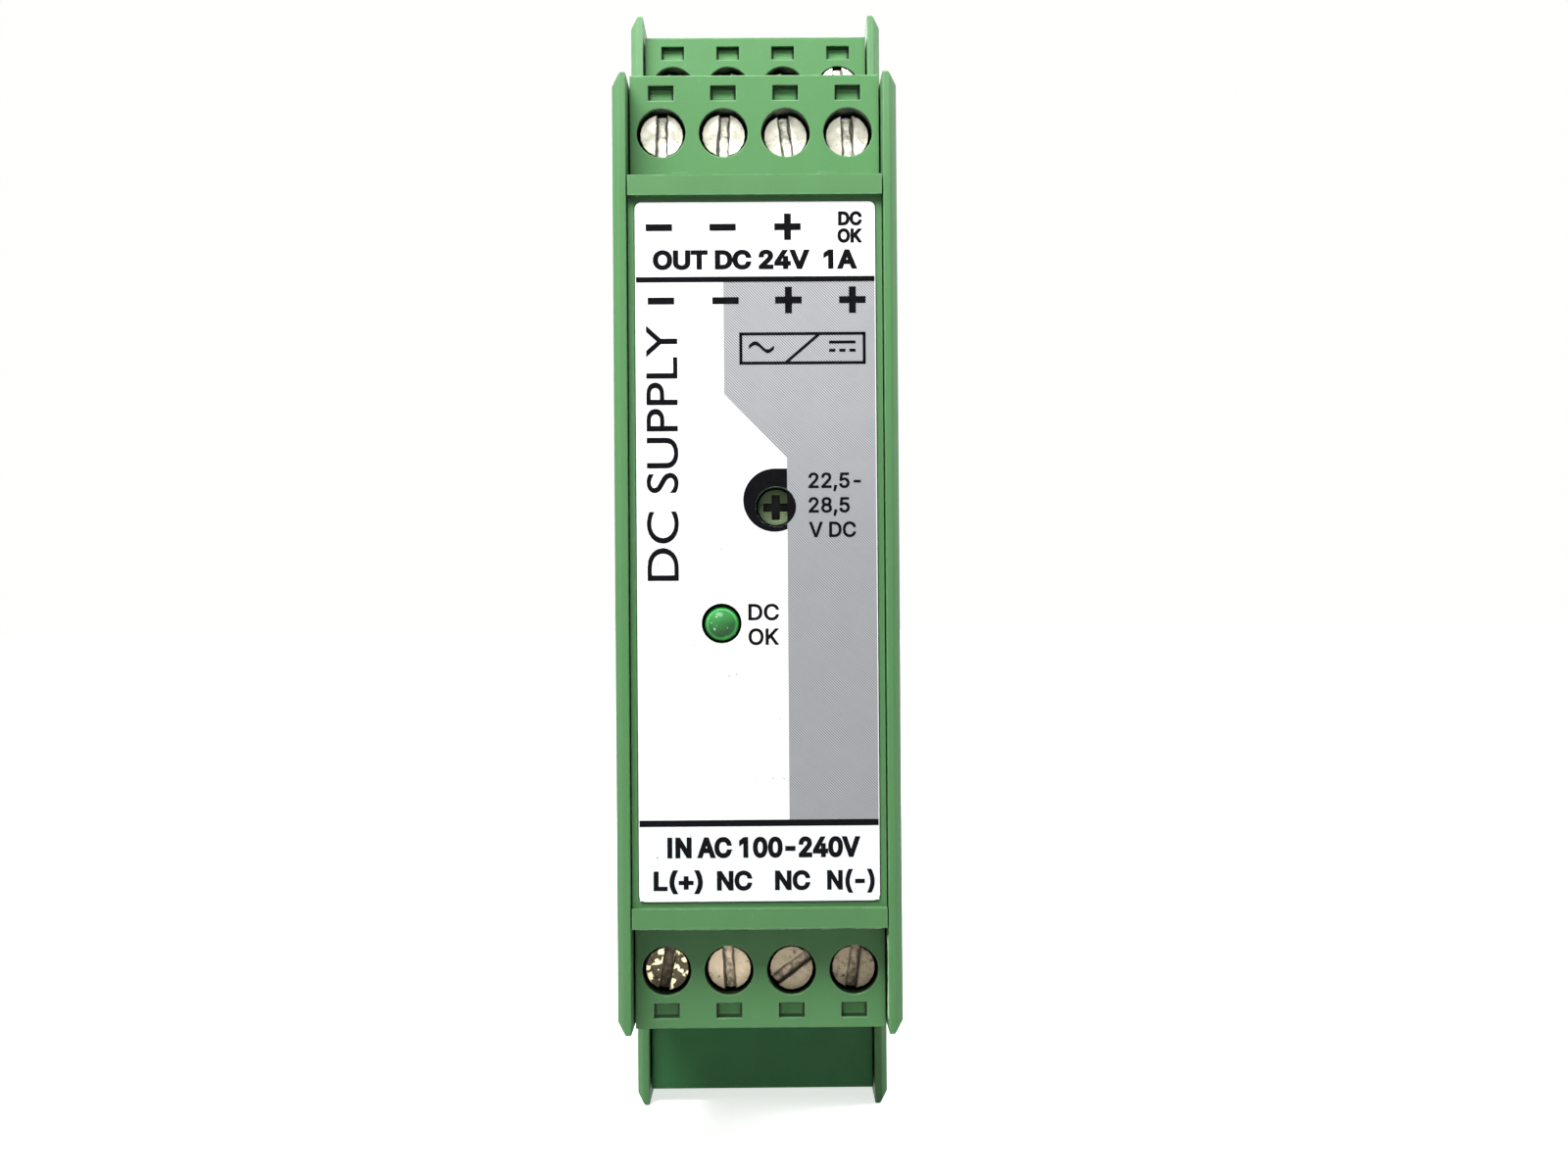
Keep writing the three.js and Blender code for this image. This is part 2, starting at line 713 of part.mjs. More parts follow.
const transformerCore = () => alongX([
  [-coreHalf, touch],
  [-coreHalf + coreLeg, touch],
  [-coreHalf + coreLeg, coreHalf - coreLeg],
  [-coreCentre, coreHalf - coreLeg],
  [-coreCentre, touch],
  [coreCentre, touch],
  [coreCentre, coreHalf - coreLeg],
  [coreHalf - coreLeg, coreHalf - coreLeg],
  [coreHalf - coreLeg, touch],
  [coreHalf, touch],
  [coreHalf, coreHalf],
  [-coreHalf, coreHalf],
], -coreThickness / 2, coreThickness / 2);

const bobbin = () => {
  const tubeY = coreCentre + slip + bobbinWall;
  const tubeX = coreThickness / 2 + slip + bobbinWall;
  return build(slab(tubeX, -tubeY, tubeY, -bobbinHalf, bobbinHalf), {
    add: [-1, 1].map((side) => slab(flangeHalfX, -bobbinHalf, bobbinHalf,
      ...sorted(side * (bobbinHalf - bobbinWall), side * bobbinHalf))),
    cut: [slab(tubeX - bobbinWall, -tubeY + bobbinWall, tubeY - bobbinWall, -bobbinHalf - 1, bobbinHalf + 1)],
  });
};

const winding = () => {
  const holeY = coreCentre + 2 * slip + bobbinWall;
  const holeX = coreThickness / 2 + 2 * slip + bobbinWall;
  const end = bobbinHalf - bobbinWall - slip;
  return build(slab(flangeHalfX - slip, -bobbinHalf + slip, bobbinHalf - slip, -end, end), {
    cut: [slab(holeX, -holeY, holeY, -end - 1, end + 1)],
  });
};

const transformer = () => {
  const group = new THREE.Group();
  const lower = piece("transformer_core_lower", transformerCore(), ferrite);
  lower.rotation.x = Math.PI;
  group.add(piece("transformer_core_upper", transformerCore(), ferrite), lower);
  group.add(piece("transformer_bobbin", bobbin(), blackPlastic));
  group.add(piece("transformer_winding", winding(), tapeYellow));
  group.position.set(floorX + flangeHalfX, coreY, 0);
  return group;
};

const ring = (outer, inner, thickness) => new THREE.LatheGeometry([
  new THREE.Vector2(inner, 0),
  new THREE.Vector2(outer, 0),
  new THREE.Vector2(outer, thickness),
  new THREE.Vector2(inner, thickness),
  new THREE.Vector2(inner, 0),
], 28);

// A capacitor can with the rolled groove near its base, standing along Y in its own frame.
const can = (radius, length) => new THREE.LatheGeometry([
  new THREE.Vector2(0, 0),
  new THREE.Vector2(radius, 0),
  new THREE.Vector2(radius, 1.6),
  new THREE.Vector2(radius - 0.4, 2),
  new THREE.Vector2(radius, 2.4),
  new THREE.Vector2(radius, length),
  new THREE.Vector2(0, length),
], 24);

// Places of the parts on the main board: each one's Y, from the front of the module to its back.
const fuseY = frontY + 16;
const absorberY = frontY + 27;
const chokeY = frontY + 33;
const sinkY = frontY + 47;
const coreY = frontY + 63;
const chipY = coreY - 4;
const outputChokeY = coreY + 18;
const outputCanY = -14;
const bulkY = -16.5;

const cylinderParts = () => {
  const bulkRadius = 7;
  const bulk = piece("bulk_capacitor", can(bulkRadius, 25), sleeveBlack);
  bulk.rotation.x = Math.PI / 2;
  bulk.position.set(floorX + bulkRadius, bulkY, -36);
  const outputs = [12, 24].map((z, index) => {
    const output = piece(`output_capacitor_${index + 1}`, can(4, 15), bluePlastic);
    output.rotation.z = -Math.PI / 2;
    output.position.set(floorX, outputCanY, z);
    return output;
  });
  const choke = piece("mains_choke_core", ring(7, 3.6, 6), ferrite);
  choke.rotation.z = -Math.PI / 2;
  choke.position.set(floorX + 1.5, chokeY, -12);
  return [
    bulk,
    ...outputs,
    choke,
    piece("mains_fuse", rodZ(2.5, -10, 10, floorX + 4, fuseY, 20), ceramic),
    piece("surge_absorber", rodZ(4.5, -2, 2, floorX + 4.6, absorberY, 24), bluePlastic),
    piece("output_choke", rodX(4.5, floorX, floorX + 10, outputChokeY, 16), ferrite),
  ];
};

const sinkHalf = 22;
const sinkThickness = 1.5;
const sinkHeight = 15.5;

// The transistor and the rectifier stand against the heatsink's back, near its ends.
const powerPart = (name, z0, z1) =>
  piece(name, box(floorX + 3, floorX + sinkHeight - 0.5, sinkY + touch, sinkY + 4.5, z0, z1), blackPlastic);

const boxParts = () => [
  piece("heatsink", box(floorX, floorX + sinkHeight, sinkY - sinkThickness, sinkY, -sinkHalf, sinkHalf),
    aluminium),
  powerPart("switching_transistor", 1 - sinkHalf, 11 - sinkHalf),
  powerPart("output_rectifier", sinkHalf - 11, sinkHalf - 1),
  piece("mains_filter_capacitor", box(floorX, floorX + 12, chokeY - 3, chokeY + 3, 5, 20), yellowPlastic),
  piece("bridge_rectifier", box(floorX, floorX + 3.3, coreY + 10, coreY + 16.5, 26, 34.5), blackPlastic),
  piece("feedback_optocoupler", box(floorX, floorX + 3.5, chipY - 4, chipY + 2.5, 15, 19.6), blackPlastic),
  piece("control_chip", box(floorX, floorX + 1.5, chipY, chipY + 5, -20, -16), blackPlastic),
];

// ---------------------------------------------------------------- the whole module

const supply = new THREE.Group();

supply.add(piece("housing_base", housing(), greenHousing));
supply.add(piece("front_cover", cover(), greenHousing));
supply.add(piece("front_label", label(), labelFoil));
supply.add(piece("terminal_blank", blank(), darkGreen));
supply.add(piece("foot_latch", latch(), blackPlastic));
supply.add(piece("latch_spring", spring(), springSteel));

const rearApron = frontPocketY - rearPlug.y;
supply.add(row("top_front", frontPlug, false, [2, 4, -7, -2], [0, 0, 0.5, 0.5]));
supply.add(row("top_rear", rearPlug, false, [4, -8, 12, -3], [0.4, 0.3, 0.4, -1.4], rearApron));
supply.add(row("bottom_front", lowerPlug, true, [8, 53, -3, 10], [0.2, 0, 0.2, 0.1]));

supply.add(piece("main_board", board(), boardGreen));
supply.add(piece("front_board", frontBoard(), boardGreen));
supply.add(piece("trimmer_body", potBody(), bluePlastic));
const rotor = piece("trimmer_rotor", potRotor(), greyPlastic);
rotor.position.set(potX, 0, potZ);
supply.add(rotor);
supply.add(piece("status_led", led(), ledGreen));
supply.add(transformer());
supply.add(...cylinderParts(), ...boxParts());

export default supply;
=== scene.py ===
"""Looks of a narrow rail-mounted power supply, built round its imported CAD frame.

Metres, in the frame of the part: +X along the rail, +Y towards the rail, +Z up. Sizes that are easier
to read in millimetres are multiplied by MM.
"""

import json
import math
import os
import random

import bmesh
import bpy
from mathutils import Matrix, Vector
from mathutils.geometry import delaunay_2d_cdt, interpolate_bezier


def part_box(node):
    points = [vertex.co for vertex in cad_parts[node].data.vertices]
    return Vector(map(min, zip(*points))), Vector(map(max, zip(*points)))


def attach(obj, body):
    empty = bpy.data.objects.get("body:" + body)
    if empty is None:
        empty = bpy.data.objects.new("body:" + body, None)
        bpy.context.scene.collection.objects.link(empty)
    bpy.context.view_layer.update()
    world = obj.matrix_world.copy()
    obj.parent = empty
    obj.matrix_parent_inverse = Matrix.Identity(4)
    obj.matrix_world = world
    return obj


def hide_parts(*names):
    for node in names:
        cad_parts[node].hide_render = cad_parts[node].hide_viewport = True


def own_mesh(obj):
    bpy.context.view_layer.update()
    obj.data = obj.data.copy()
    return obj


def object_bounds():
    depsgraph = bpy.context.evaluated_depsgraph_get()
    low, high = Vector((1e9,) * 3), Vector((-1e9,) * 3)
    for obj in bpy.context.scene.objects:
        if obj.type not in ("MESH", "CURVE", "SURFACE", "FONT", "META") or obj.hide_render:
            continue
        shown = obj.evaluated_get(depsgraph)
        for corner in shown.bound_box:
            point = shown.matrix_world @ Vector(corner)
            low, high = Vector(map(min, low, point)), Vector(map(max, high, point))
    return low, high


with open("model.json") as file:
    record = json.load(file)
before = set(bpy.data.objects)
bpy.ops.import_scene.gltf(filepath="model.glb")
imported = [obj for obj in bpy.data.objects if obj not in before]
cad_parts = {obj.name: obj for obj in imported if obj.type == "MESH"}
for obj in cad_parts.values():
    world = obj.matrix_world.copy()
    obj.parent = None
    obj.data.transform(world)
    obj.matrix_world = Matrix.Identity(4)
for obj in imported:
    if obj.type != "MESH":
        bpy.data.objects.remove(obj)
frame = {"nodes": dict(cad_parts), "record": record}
cad_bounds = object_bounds()

MM = 0.001
nodes = frame["nodes"]
record = frame["record"]
slot_of = {part["node"]: part["material_slot"] for part in record["subparts"]}
scene = bpy.context.scene
ROWS = ("top_front", "top_rear", "bottom_front")
POLES = (1, 2, 3, 4)

# Terminal plugs: the openings of their faces, as the CAD model cuts them.
PITCH = 5 * MM
BORE_RADIUS = 1.975 * MM
BORE_REACH = 6.0 * MM
WINDOW_REACH = 1.0 * MM
WINDOW_WIDTH = 2.05 * MM
WINDOW_HEIGHT = 1.2 * MM
WINDOW_OFFSET = 3.20 * MM

# Turn of each screw's slot about Y, in degrees, and half the slot's width, as the CAD model sets them.
SLOT_TURNS = {"top_front": (2, 4, -7, -2), "top_rear": (4, -8, 12, -3), "bottom_front": (8, 53, -3, 10)}
SLOT_HALF = 0.425 * MM

# Housing: the height above which it grows paler towards the top, and the height over which that sets in.
PALER_FROM = 28 * MM
PALER_OVER = 16 * MM


# ------------------------------------------------------------------ shader helpers


class Shader:
    """A material with one Principled shader, and short calls for the nodes that feed it."""

    def __init__(self, name, roughness=0.5, metallic=0.0, **constants):
        self.material = bpy.data.materials.new(name)
        self.material.use_nodes = True
        self.tree = self.material.node_tree
        self.bsdf = self.tree.nodes["Principled BSDF"]
        self.bsdf.inputs["Roughness"].default_value = roughness
        self.bsdf.inputs["Metallic"].default_value = metallic
        for socket, value in constants.items():
            self.bsdf.inputs[socket.replace("_", " ")].default_value = value
        self.place = self.node("ShaderNodeTexCoord").outputs["Object"]

    def node(self, kind, **settings):
        made = self.tree.nodes.new(kind)
        for key, value in settings.items():
            setattr(made, key, value)
        return made

    def link(self, output, target):
        self.tree.links.new(output, target)

    def noise(self, scale, detail=2.0, rough=0.5, at=None, stretch=None):
        place = at or self.place
        if stretch:
            mapping = self.node("ShaderNodeMapping")
            mapping.inputs["Scale"].default_value = stretch
            self.link(place, mapping.inputs["Vector"])
            place = mapping.outputs["Vector"]
        made = self.node("ShaderNodeTexNoise")
        made.inputs["Scale"].default_value = scale
        made.inputs["Detail"].default_value = detail
        made.inputs["Roughness"].default_value = rough
        self.link(place, made.inputs["Vector"])
        return made.outputs["Fac"]

    def between(self, value, low, high, to_low=0.0, to_high=1.0):
        made = self.node("ShaderNodeMapRange")
        made.inputs["From Min"].default_value = low
        made.inputs["From Max"].default_value = high
        made.inputs["To Min"].default_value = to_low
        made.inputs["To Max"].default_value = to_high
        self.link(value, made.inputs["Value"])
        return made.outputs["Result"]

    def math(self, operation, a, b=0.0):
        made = self.node("ShaderNodeMath", operation=operation)
        for socket, value in zip(made.inputs, (a, b)):
            if isinstance(value, (int, float)):
                socket.default_value = value
            else:
                self.link(value, socket)
        return made.outputs[0]

    def times(self, a, b):
        return self.math("MULTIPLY", a, b)

    def distance(self, a, b):
        """How far a point lies from the origin of two coordinates."""
        return self.math("SQRT", self.math("ADD", self.times(a, a), self.times(b, b)))

    def mix(self, factor, a, b):
        made = self.node("ShaderNodeMix", data_type="RGBA")
        for socket, value in ((made.inputs[0], factor), (made.inputs[6], a), (made.inputs[7], b)):
            if isinstance(value, (int, float)):
                socket.default_value = value
            elif isinstance(value, tuple):
                socket.default_value = (*value[:3], 1.0)
            else:
                self.link(value, socket)
        return made.outputs[2]

    def colour(self, output):
        self.link(output, self.bsdf.inputs["Base Color"])

    def rough(self, output):
        self.link(output, self.bsdf.inputs["Roughness"])

    def bump(self, height, distance, strength=1.0, rounded=0.0):
        """Bumps, with sharp edges that look rounded by a radius in millimetres where one is given."""
        made = self.node("ShaderNodeBump")
        made.inputs["Distance"].default_value = distance
        made.inputs["Strength"].default_value = strength
        self.link(height, made.inputs["Height"])
        if rounded:
            soft = self.node("ShaderNodeBevel", samples=6)
            soft.inputs["Radius"].default_value = rounded * MM
            self.link(soft.outputs["Normal"], made.inputs["Normal"])
        self.link(made.outputs["Normal"], self.bsdf.inputs["Normal"])

    def edges(self, radius=0.22):
        """1 along sharp edges and 0 on open faces."""
        rounded = self.node("ShaderNodeBevel", samples=6)
        rounded.inputs["Radius"].default_value = radius * MM
        agree = self.node("ShaderNodeVectorMath", operation="DOT_PRODUCT")
        self.link(rounded.outputs["Normal"], agree.inputs[0])
        self.link(self.node("ShaderNodeNewGeometry").outputs["Normal"], agree.inputs[1])
        return self.between(agree.outputs["Value"], 0.99, 0.86)

    def crevices(self, reach=1.0, low=0.12, high=0.8):
        """0 deep in a gap or a bore and 1 in the open."""
        made = self.node("ShaderNodeAmbientOcclusion", samples=8)
        made.inputs["Distance"].default_value = reach * MM
        return self.between(made.outputs["AO"], low, high)

    def centred(self, centre):
        """The object coordinates, counted from a point."""
        made = self.node("ShaderNodeVectorMath", operation="SUBTRACT")
        self.link(self.place, made.inputs[0])
        made.inputs[1].default_value = centre
        return made.outputs["Vector"]

    def split(self, vector):
        made = self.node("ShaderNodeSeparateXYZ")
        self.link(vector, made.inputs[0])
        return made.outputs


CHALK_GREEN = (0.42, 0.62, 0.42)


def shade(colour, factor):
    return tuple(min(1.0, c * factor) for c in colour)


def srgb(red, green, blue):
    """Linear colour from display values of 0 to 255."""
    def one(value):
        value /= 255
        return value / 12.92 if value <= 0.04045 else ((value + 0.055) / 1.055) ** 2.4
    return (one(red), one(green), one(blue))


# ------------------------------------------------------------------ materials


def plug_openings(m, base, colour, face):
    """Paints shade into a plug's screw bores, and painted light onto each window's floor with a painted
    shadow round its edge.
    """
    face_y, screw_z, window_z = face
    x, y, z = m.split(m.centred((0.0, face_y, screw_z)))
    across = m.math("SUBTRACT", m.math("PINGPONG", x, PITCH / 2), PITCH / 2)
    away = m.distance(across, z)
    # Painted shade: the bores are painted nearly black below the face.
    inside = m.times(m.between(away, BORE_RADIUS + 0.04 * MM, BORE_RADIUS + 0.01 * MM),
                     m.between(y, 0.12 * MM, 0.5 * MM))
    inside = m.times(inside, m.between(y, BORE_REACH, BORE_REACH - 0.1 * MM))
    base = m.mix(m.times(inside, 0.93), base, (0.003, 0.006, 0.003))

    # border is below 0 inside a window and above 0 outside it.
    up = m.math("ABSOLUTE", m.math("SUBTRACT", z, window_z - screw_z))
    border = m.math("MAXIMUM", m.math("SUBTRACT", m.math("ABSOLUTE", across), WINDOW_WIDTH / 2),
                    m.math("SUBTRACT", up, WINDOW_HEIGHT / 2))
    # Painted light on each window's floor, and a painted shadow along its edge.
    sunk = m.times(m.between(y, 0.25 * MM, 0.4 * MM), m.between(border, 0.05 * MM, 0.02 * MM))
    sunk = m.times(sunk, m.between(y, WINDOW_REACH, WINDOW_REACH - 0.1 * MM))
    base = m.mix(sunk, base, shade(colour, 1.9))
    rim_shadow = m.times(sunk, m.between(border, -0.26 * MM, -0.13 * MM))
    return m.mix(m.times(rim_shadow, 0.92), base, shade(colour, 0.07))


def moulded(name, colour, roughness=0.46, grain=0.010, cloud=0.04, pale_edges=0.45, sheen=0.05, grime_and_painted_shade=0.8,
            face=None, rounded=0.0, pit=None, paler_above=None):
    """Moulded polyamide: fine spark-eroded grain, flow streaks, paler edges of wear and painted highlight,
    and painted shade in its gaps.

    rounded is the radius, in millimetres, by which sharp edges look rounded. face marks a terminal plug, as
    the Y of its face and the Z of its screws and windows. pit is the Y from which a recess is painted dark as
    shade, and the last argument the Z above which the surface is paler towards the top.
    """
    m = Shader(name, roughness=roughness, Subsurface_Weight=sheen, Subsurface_Scale=0.001,
               Specular_IOR_Level=0.24)
    m.bsdf.inputs["Subsurface Radius"].default_value = (0.5, 1.0, 0.45)
    cloudy = m.noise(45, detail=2.0)
    streaks = m.noise(260, detail=2.0, stretch=(1.0, 1.0, 0.12))
    base = m.mix(m.between(cloudy, 0.3, 0.7), shade(colour, 1 - cloud), shade(colour, 1 + cloud))
    base = m.mix(m.between(streaks, 0.40, 0.75, 0.0, 0.30), base, shade(colour, 1.18))
    specks = m.between(m.noise(2600, detail=1.0), 0.72, 0.80)
    base = m.mix(m.times(specks, 0.25), base, shade(colour, 1.6))
    pale = tuple(0.5 * c + 0.5 * p for c, p in zip(colour, CHALK_GREEN))
    open_air = m.crevices()
    # Paler edges: partly wear, partly a painted highlight along sharp convex edges.
    worn_and_highlit = m.times(m.edges(), m.between(m.noise(1100, detail=3.0), 0.42, 0.7, 0.2, 1.0))
    worn_and_highlit = m.times(worn_and_highlit, open_air)
    base = m.mix(m.times(worn_and_highlit, pale_edges), base, pale)
    # Painted shade: gaps and recesses go dark where ambient occlusion finds little open air.
    painted_gap_shade = m.math("SUBTRACT", 1.0, open_air)
    base = m.mix(m.times(painted_gap_shade, grime_and_painted_shade), base, shade(colour, 0.12))
    if face:
        base = plug_openings(m, base, colour, face)
    # Paler towards the top, in blotches, above the given height.
    if paler_above:
        paling = m.between(m.split(m.place)[2], paler_above, paler_above + PALER_OVER, 0.0, 0.28)
        blotch = m.between(m.noise(330, detail=4.0, rough=0.65), 0.3, 0.7, 0.6, 1.0)
        base = m.mix(m.times(paling, blotch), base, pale)
    # Painted shade: the recess is painted nearly black from pit inwards.
    if pit:
        y = m.split(m.place)[1]
        base = m.mix(m.times(m.between(y, pit, pit + 0.1 * MM), 0.96), base, (0.004, 0.005, 0.004))
    m.colour(base)
    m.rough(m.between(m.noise(420, detail=3.0), 0.25, 0.75, roughness - 0.04, roughness + 0.05))
    fine = m.noise(5200, detail=2.0, rough=0.65)
    coarse = m.noise(900, detail=1.0)
    m.bump(m.math("ADD", fine, m.times(coarse, 0.5)), grain * MM, rounded=rounded)
    return m.material


RING_PITCH = 0.11 * MM
RING_WOBBLE = 0.12 * MM


def screw_metal(name, centre, colour, dirt, turn, gold=0.0):
    """Plated steel with turned rings round the axis, a worn slot, dirt, and painted shade in the low spots.

    dirt runs from 0 to 1, turn is the slot's angle, and gold is the strength of flecks of old plating.
    """
    m = Shader(name, roughness=0.34, metallic=1.0)
    at = m.centred(centre)
    x, _, z = m.split(at)
    beside = m.math("ABSOLUTE", m.math("SUBTRACT", m.times(x, math.cos(turn)),
                                       m.times(z, math.sin(turn))))
    uneven = m.between(m.noise(900, detail=3.0, at=at), 0.3, 0.7, -0.11 * MM, 0.11 * MM)
    beside = m.math("ADD", beside, uneven)
    radius = m.distance(x, z)
    wobble = m.times(m.noise(700, at=at), RING_WOBBLE)
    rings = m.math("SINE", m.times(m.math("ADD", radius, wobble), 2 * math.pi / RING_PITCH))
    cloudy = m.noise(1500, detail=3.0, at=at)
    base = m.mix(m.between(cloudy, 0.3, 0.7), shade(colour, 0.82), colour)
    base = m.mix(m.between(rings, -1.0, 1.0, 0.0, 0.18), base, shade(colour, 0.6))
    grime_and_painted_shade = m.between(m.noise(2300, detail=4.0, rough=0.7, at=at), 0.68 - dirt * 0.3, 0.80 - dirt * 0.2)
    base = m.mix(m.times(grime_and_painted_shade, 0.9), base, (0.035, 0.028, 0.018))
    if gold:
        flecks = m.between(m.noise(1700, detail=2.0, at=at), 0.51, 0.57)
        base = m.mix(m.times(flecks, gold), base, (1.0, 0.86, 0.50))
    floor_tone = m.between(m.noise(1900, detail=3.0, at=at), 0.40, 0.62)
    slot_floor = m.mix(floor_tone, shade(colour, 0.42), shade(colour, 1.15))
    base = m.mix(m.between(beside, SLOT_HALF, SLOT_HALF - 0.05 * MM), base, slot_floor)
    brink = m.math("ABSOLUTE", m.math("SUBTRACT", beside, SLOT_HALF - 0.03 * MM))
    base = m.mix(m.times(m.between(brink, 0.13 * MM, 0.05 * MM), 0.85), base, (0.05, 0.042, 0.03))
    open_air = m.crevices(0.5, 0.25, 0.85)
    worn = m.times(m.edges(0.12), m.times(open_air, 0.45))
    base = m.mix(worn, base, shade(colour, 1.25))
    # Painted shade: the slot and the bore go dark where ambient occlusion finds little open air.
    m.colour(m.mix(m.times(m.math("SUBTRACT", 1.0, open_air), 0.95), base, (0.012, 0.010, 0.007)))
    m.rough(m.math("ADD", m.between(cloudy, 0.2, 0.8, 0.22, 0.40), m.times(grime_and_painted_shade, 0.35)))
    pits = m.times(m.noise(2300, detail=3.0, rough=0.6, at=at), 7.0)
    m.bump(m.math("ADD", rings, pits), 0.0045 * MM)
    return m.material


def metal(name, colour, roughness=0.35, stretch=(1, 1, 1), scratch=0.004):
    """Sheet or wire metal with drawn lines along one direction and a slight tarnish."""
    m = Shader(name, roughness=roughness, metallic=1.0)
    lines = m.noise(1800, detail=3.0, rough=0.7, stretch=stretch)
    tarnish = m.noise(260, detail=3.0)
    base = m.mix(m.between(tarnish, 0.35, 0.7), colour, shade(colour, 0.72))
    m.colour(m.mix(m.between(lines, 0.5, 0.8, 0.0, 0.4), base, shade(colour, 1.15)))
    m.rough(m.between(lines, 0.3, 0.7, roughness - 0.08, roughness + 0.12))
    m.bump(lines, scratch * MM)
    return m.material


def foil(name, colour=(0.88, 0.885, 0.90)):
    """Printed polyester foil: almost even, with a faint weave of the adhesive below it."""
    m = Shader(name, roughness=0.36, Specular_IOR_Level=0.25)
    base = m.mix(m.between(m.noise(160, detail=2.0), 0.3, 0.7), shade(colour, 0.975), colour)
    dust = m.times(m.between(m.noise(2100, detail=1.0), 0.775, 0.80), 0.6)
    m.colour(m.mix(dust, base, (0.16, 0.20, 0.16)))
    m.rough(m.between(m.noise(700, detail=2.0), 0.3, 0.7, 0.31, 0.42))
    m.bump(m.math("ADD", m.noise(3500, detail=1.0), m.noise(350, detail=1.0)), 0.004 * MM)
    return m.material


SCREEN_PITCH = 0.155 * MM
# Height above the label's middle at which the painted highlight on the grey print is full.
SCREEN_HIGHLIGHT_TOP = 11 * MM


def halftone(name, light, dark, pitch):
    """Print made of fine lines at 45 degrees, paler from the label's middle upwards by a painted highlight.
    """
    m = Shader(name, roughness=0.4, Specular_IOR_Level=0.2)
    x, _, z = m.split(m.place)
    along = m.times(m.math("ADD", x, z), 2 * math.pi / (pitch * math.sqrt(2)))
    wave = m.between(m.math("SINE", along), -0.5, 0.5)
    uneven = m.between(m.noise(500, detail=2.0), 0.3, 0.7, 0.92, 1.0)
    # Painted highlight: the light lines grow stronger towards the top.
    painted_highlight = m.between(z, 0.0, SCREEN_HIGHLIGHT_TOP, 0.74, 1.0)
    m.colour(m.mix(m.times(m.times(wave, uneven), painted_highlight), dark, light))
    m.rough(m.between(m.noise(700, detail=2.0), 0.3, 0.7, 0.34, 0.46))
    return m.material


def ink(name, colour, roughness=0.42):
    """Printing ink, a little worn in spots."""
    m = Shader(name, roughness=roughness, Specular_IOR_Level=0.03)
    m.colour(m.mix(m.between(m.noise(2400, detail=2.0), 0.4, 0.75, 0.0, 0.6), colour, shade(colour, 1.9)))
    m.rough(m.between(m.noise(1200), 0.3, 0.7, roughness - 0.06, roughness + 0.08))
    return m.material


def lens(name, colour, centre, radius):
    """Diffused lens of a light seen along Y: a painted highlight ring, painted shadow at its edge and small
    bubbles.
    """
    m = Shader(name, roughness=0.3, Specular_IOR_Level=0.12, Subsurface_Weight=0.3, Subsurface_Scale=0.001)
    x, _, z = m.split(m.centred(centre))
    away = m.distance(x, z)
    base = m.mix(m.between(m.noise(900, detail=3.0), 0.3, 0.7), shade(colour, 0.85), shade(colour, 1.12))
    # A ring of painted highlight.
    off_highlight_ring = m.math("ABSOLUTE", m.math("SUBTRACT", away, radius * 0.80))
    ring = m.between(off_highlight_ring, radius * 0.12, radius * 0.03)
    base = m.mix(m.times(ring, 0.8), base, shade(colour, 3.2))
    # Painted shadow round the lens's edge.
    base = m.mix(m.between(away, radius * 0.88, radius * 0.96), base, shade(colour, 0.15))
    m.colour(m.mix(m.between(m.noise(2900), 0.70, 0.74), base, (0.6, 0.8, 0.6)))
    m.rough(m.between(m.noise(1500), 0.3, 0.7, 0.12, 0.24))
    m.bump(m.noise(2600, detail=2.0), 0.003 * MM)
    return m.material


def sintered(name, colour, roughness=0.55, spread=0.25, grain=0.02, scale=2200):
    """Ferrite, moulded epoxy or ceramic: a granular matt surface."""
    m = Shader(name, roughness=roughness)
    grains = m.noise(scale, detail=4.0, rough=0.7)
    base = m.mix(m.between(grains, 0.35, 0.7), shade(colour, 1 - spread), shade(colour, 1 + spread))
    m.colour(m.mix(m.times(m.edges(), 0.35), base, shade(colour, 1.8)))
    m.rough(m.between(m.noise(scale / 3), 0.3, 0.7, roughness - 0.1, roughness + 0.08))
    m.bump(grains, grain * MM)
    return m.material


def solder_mask(name):
    """Circuit board: traces under green solder mask."""
    m = Shader(name, roughness=0.32, Coat_Weight=0.2)
    bricks = m.node("ShaderNodeTexVoronoi", feature="DISTANCE_TO_EDGE", distance="CHEBYCHEV")
    bricks.inputs["Scale"].default_value = 260
    m.link(m.place, bricks.inputs["Vector"])
    trace = m.between(bricks.outputs["Distance"], 0.04, 0.07)
    m.colour(m.mix(trace, (0.035, 0.16, 0.07), (0.02, 0.10, 0.045)))
    m.rough(m.between(m.noise(600), 0.3, 0.7, 0.26, 0.4))
    m.bump(trace, 0.02 * MM, 0.6)
    return m.material


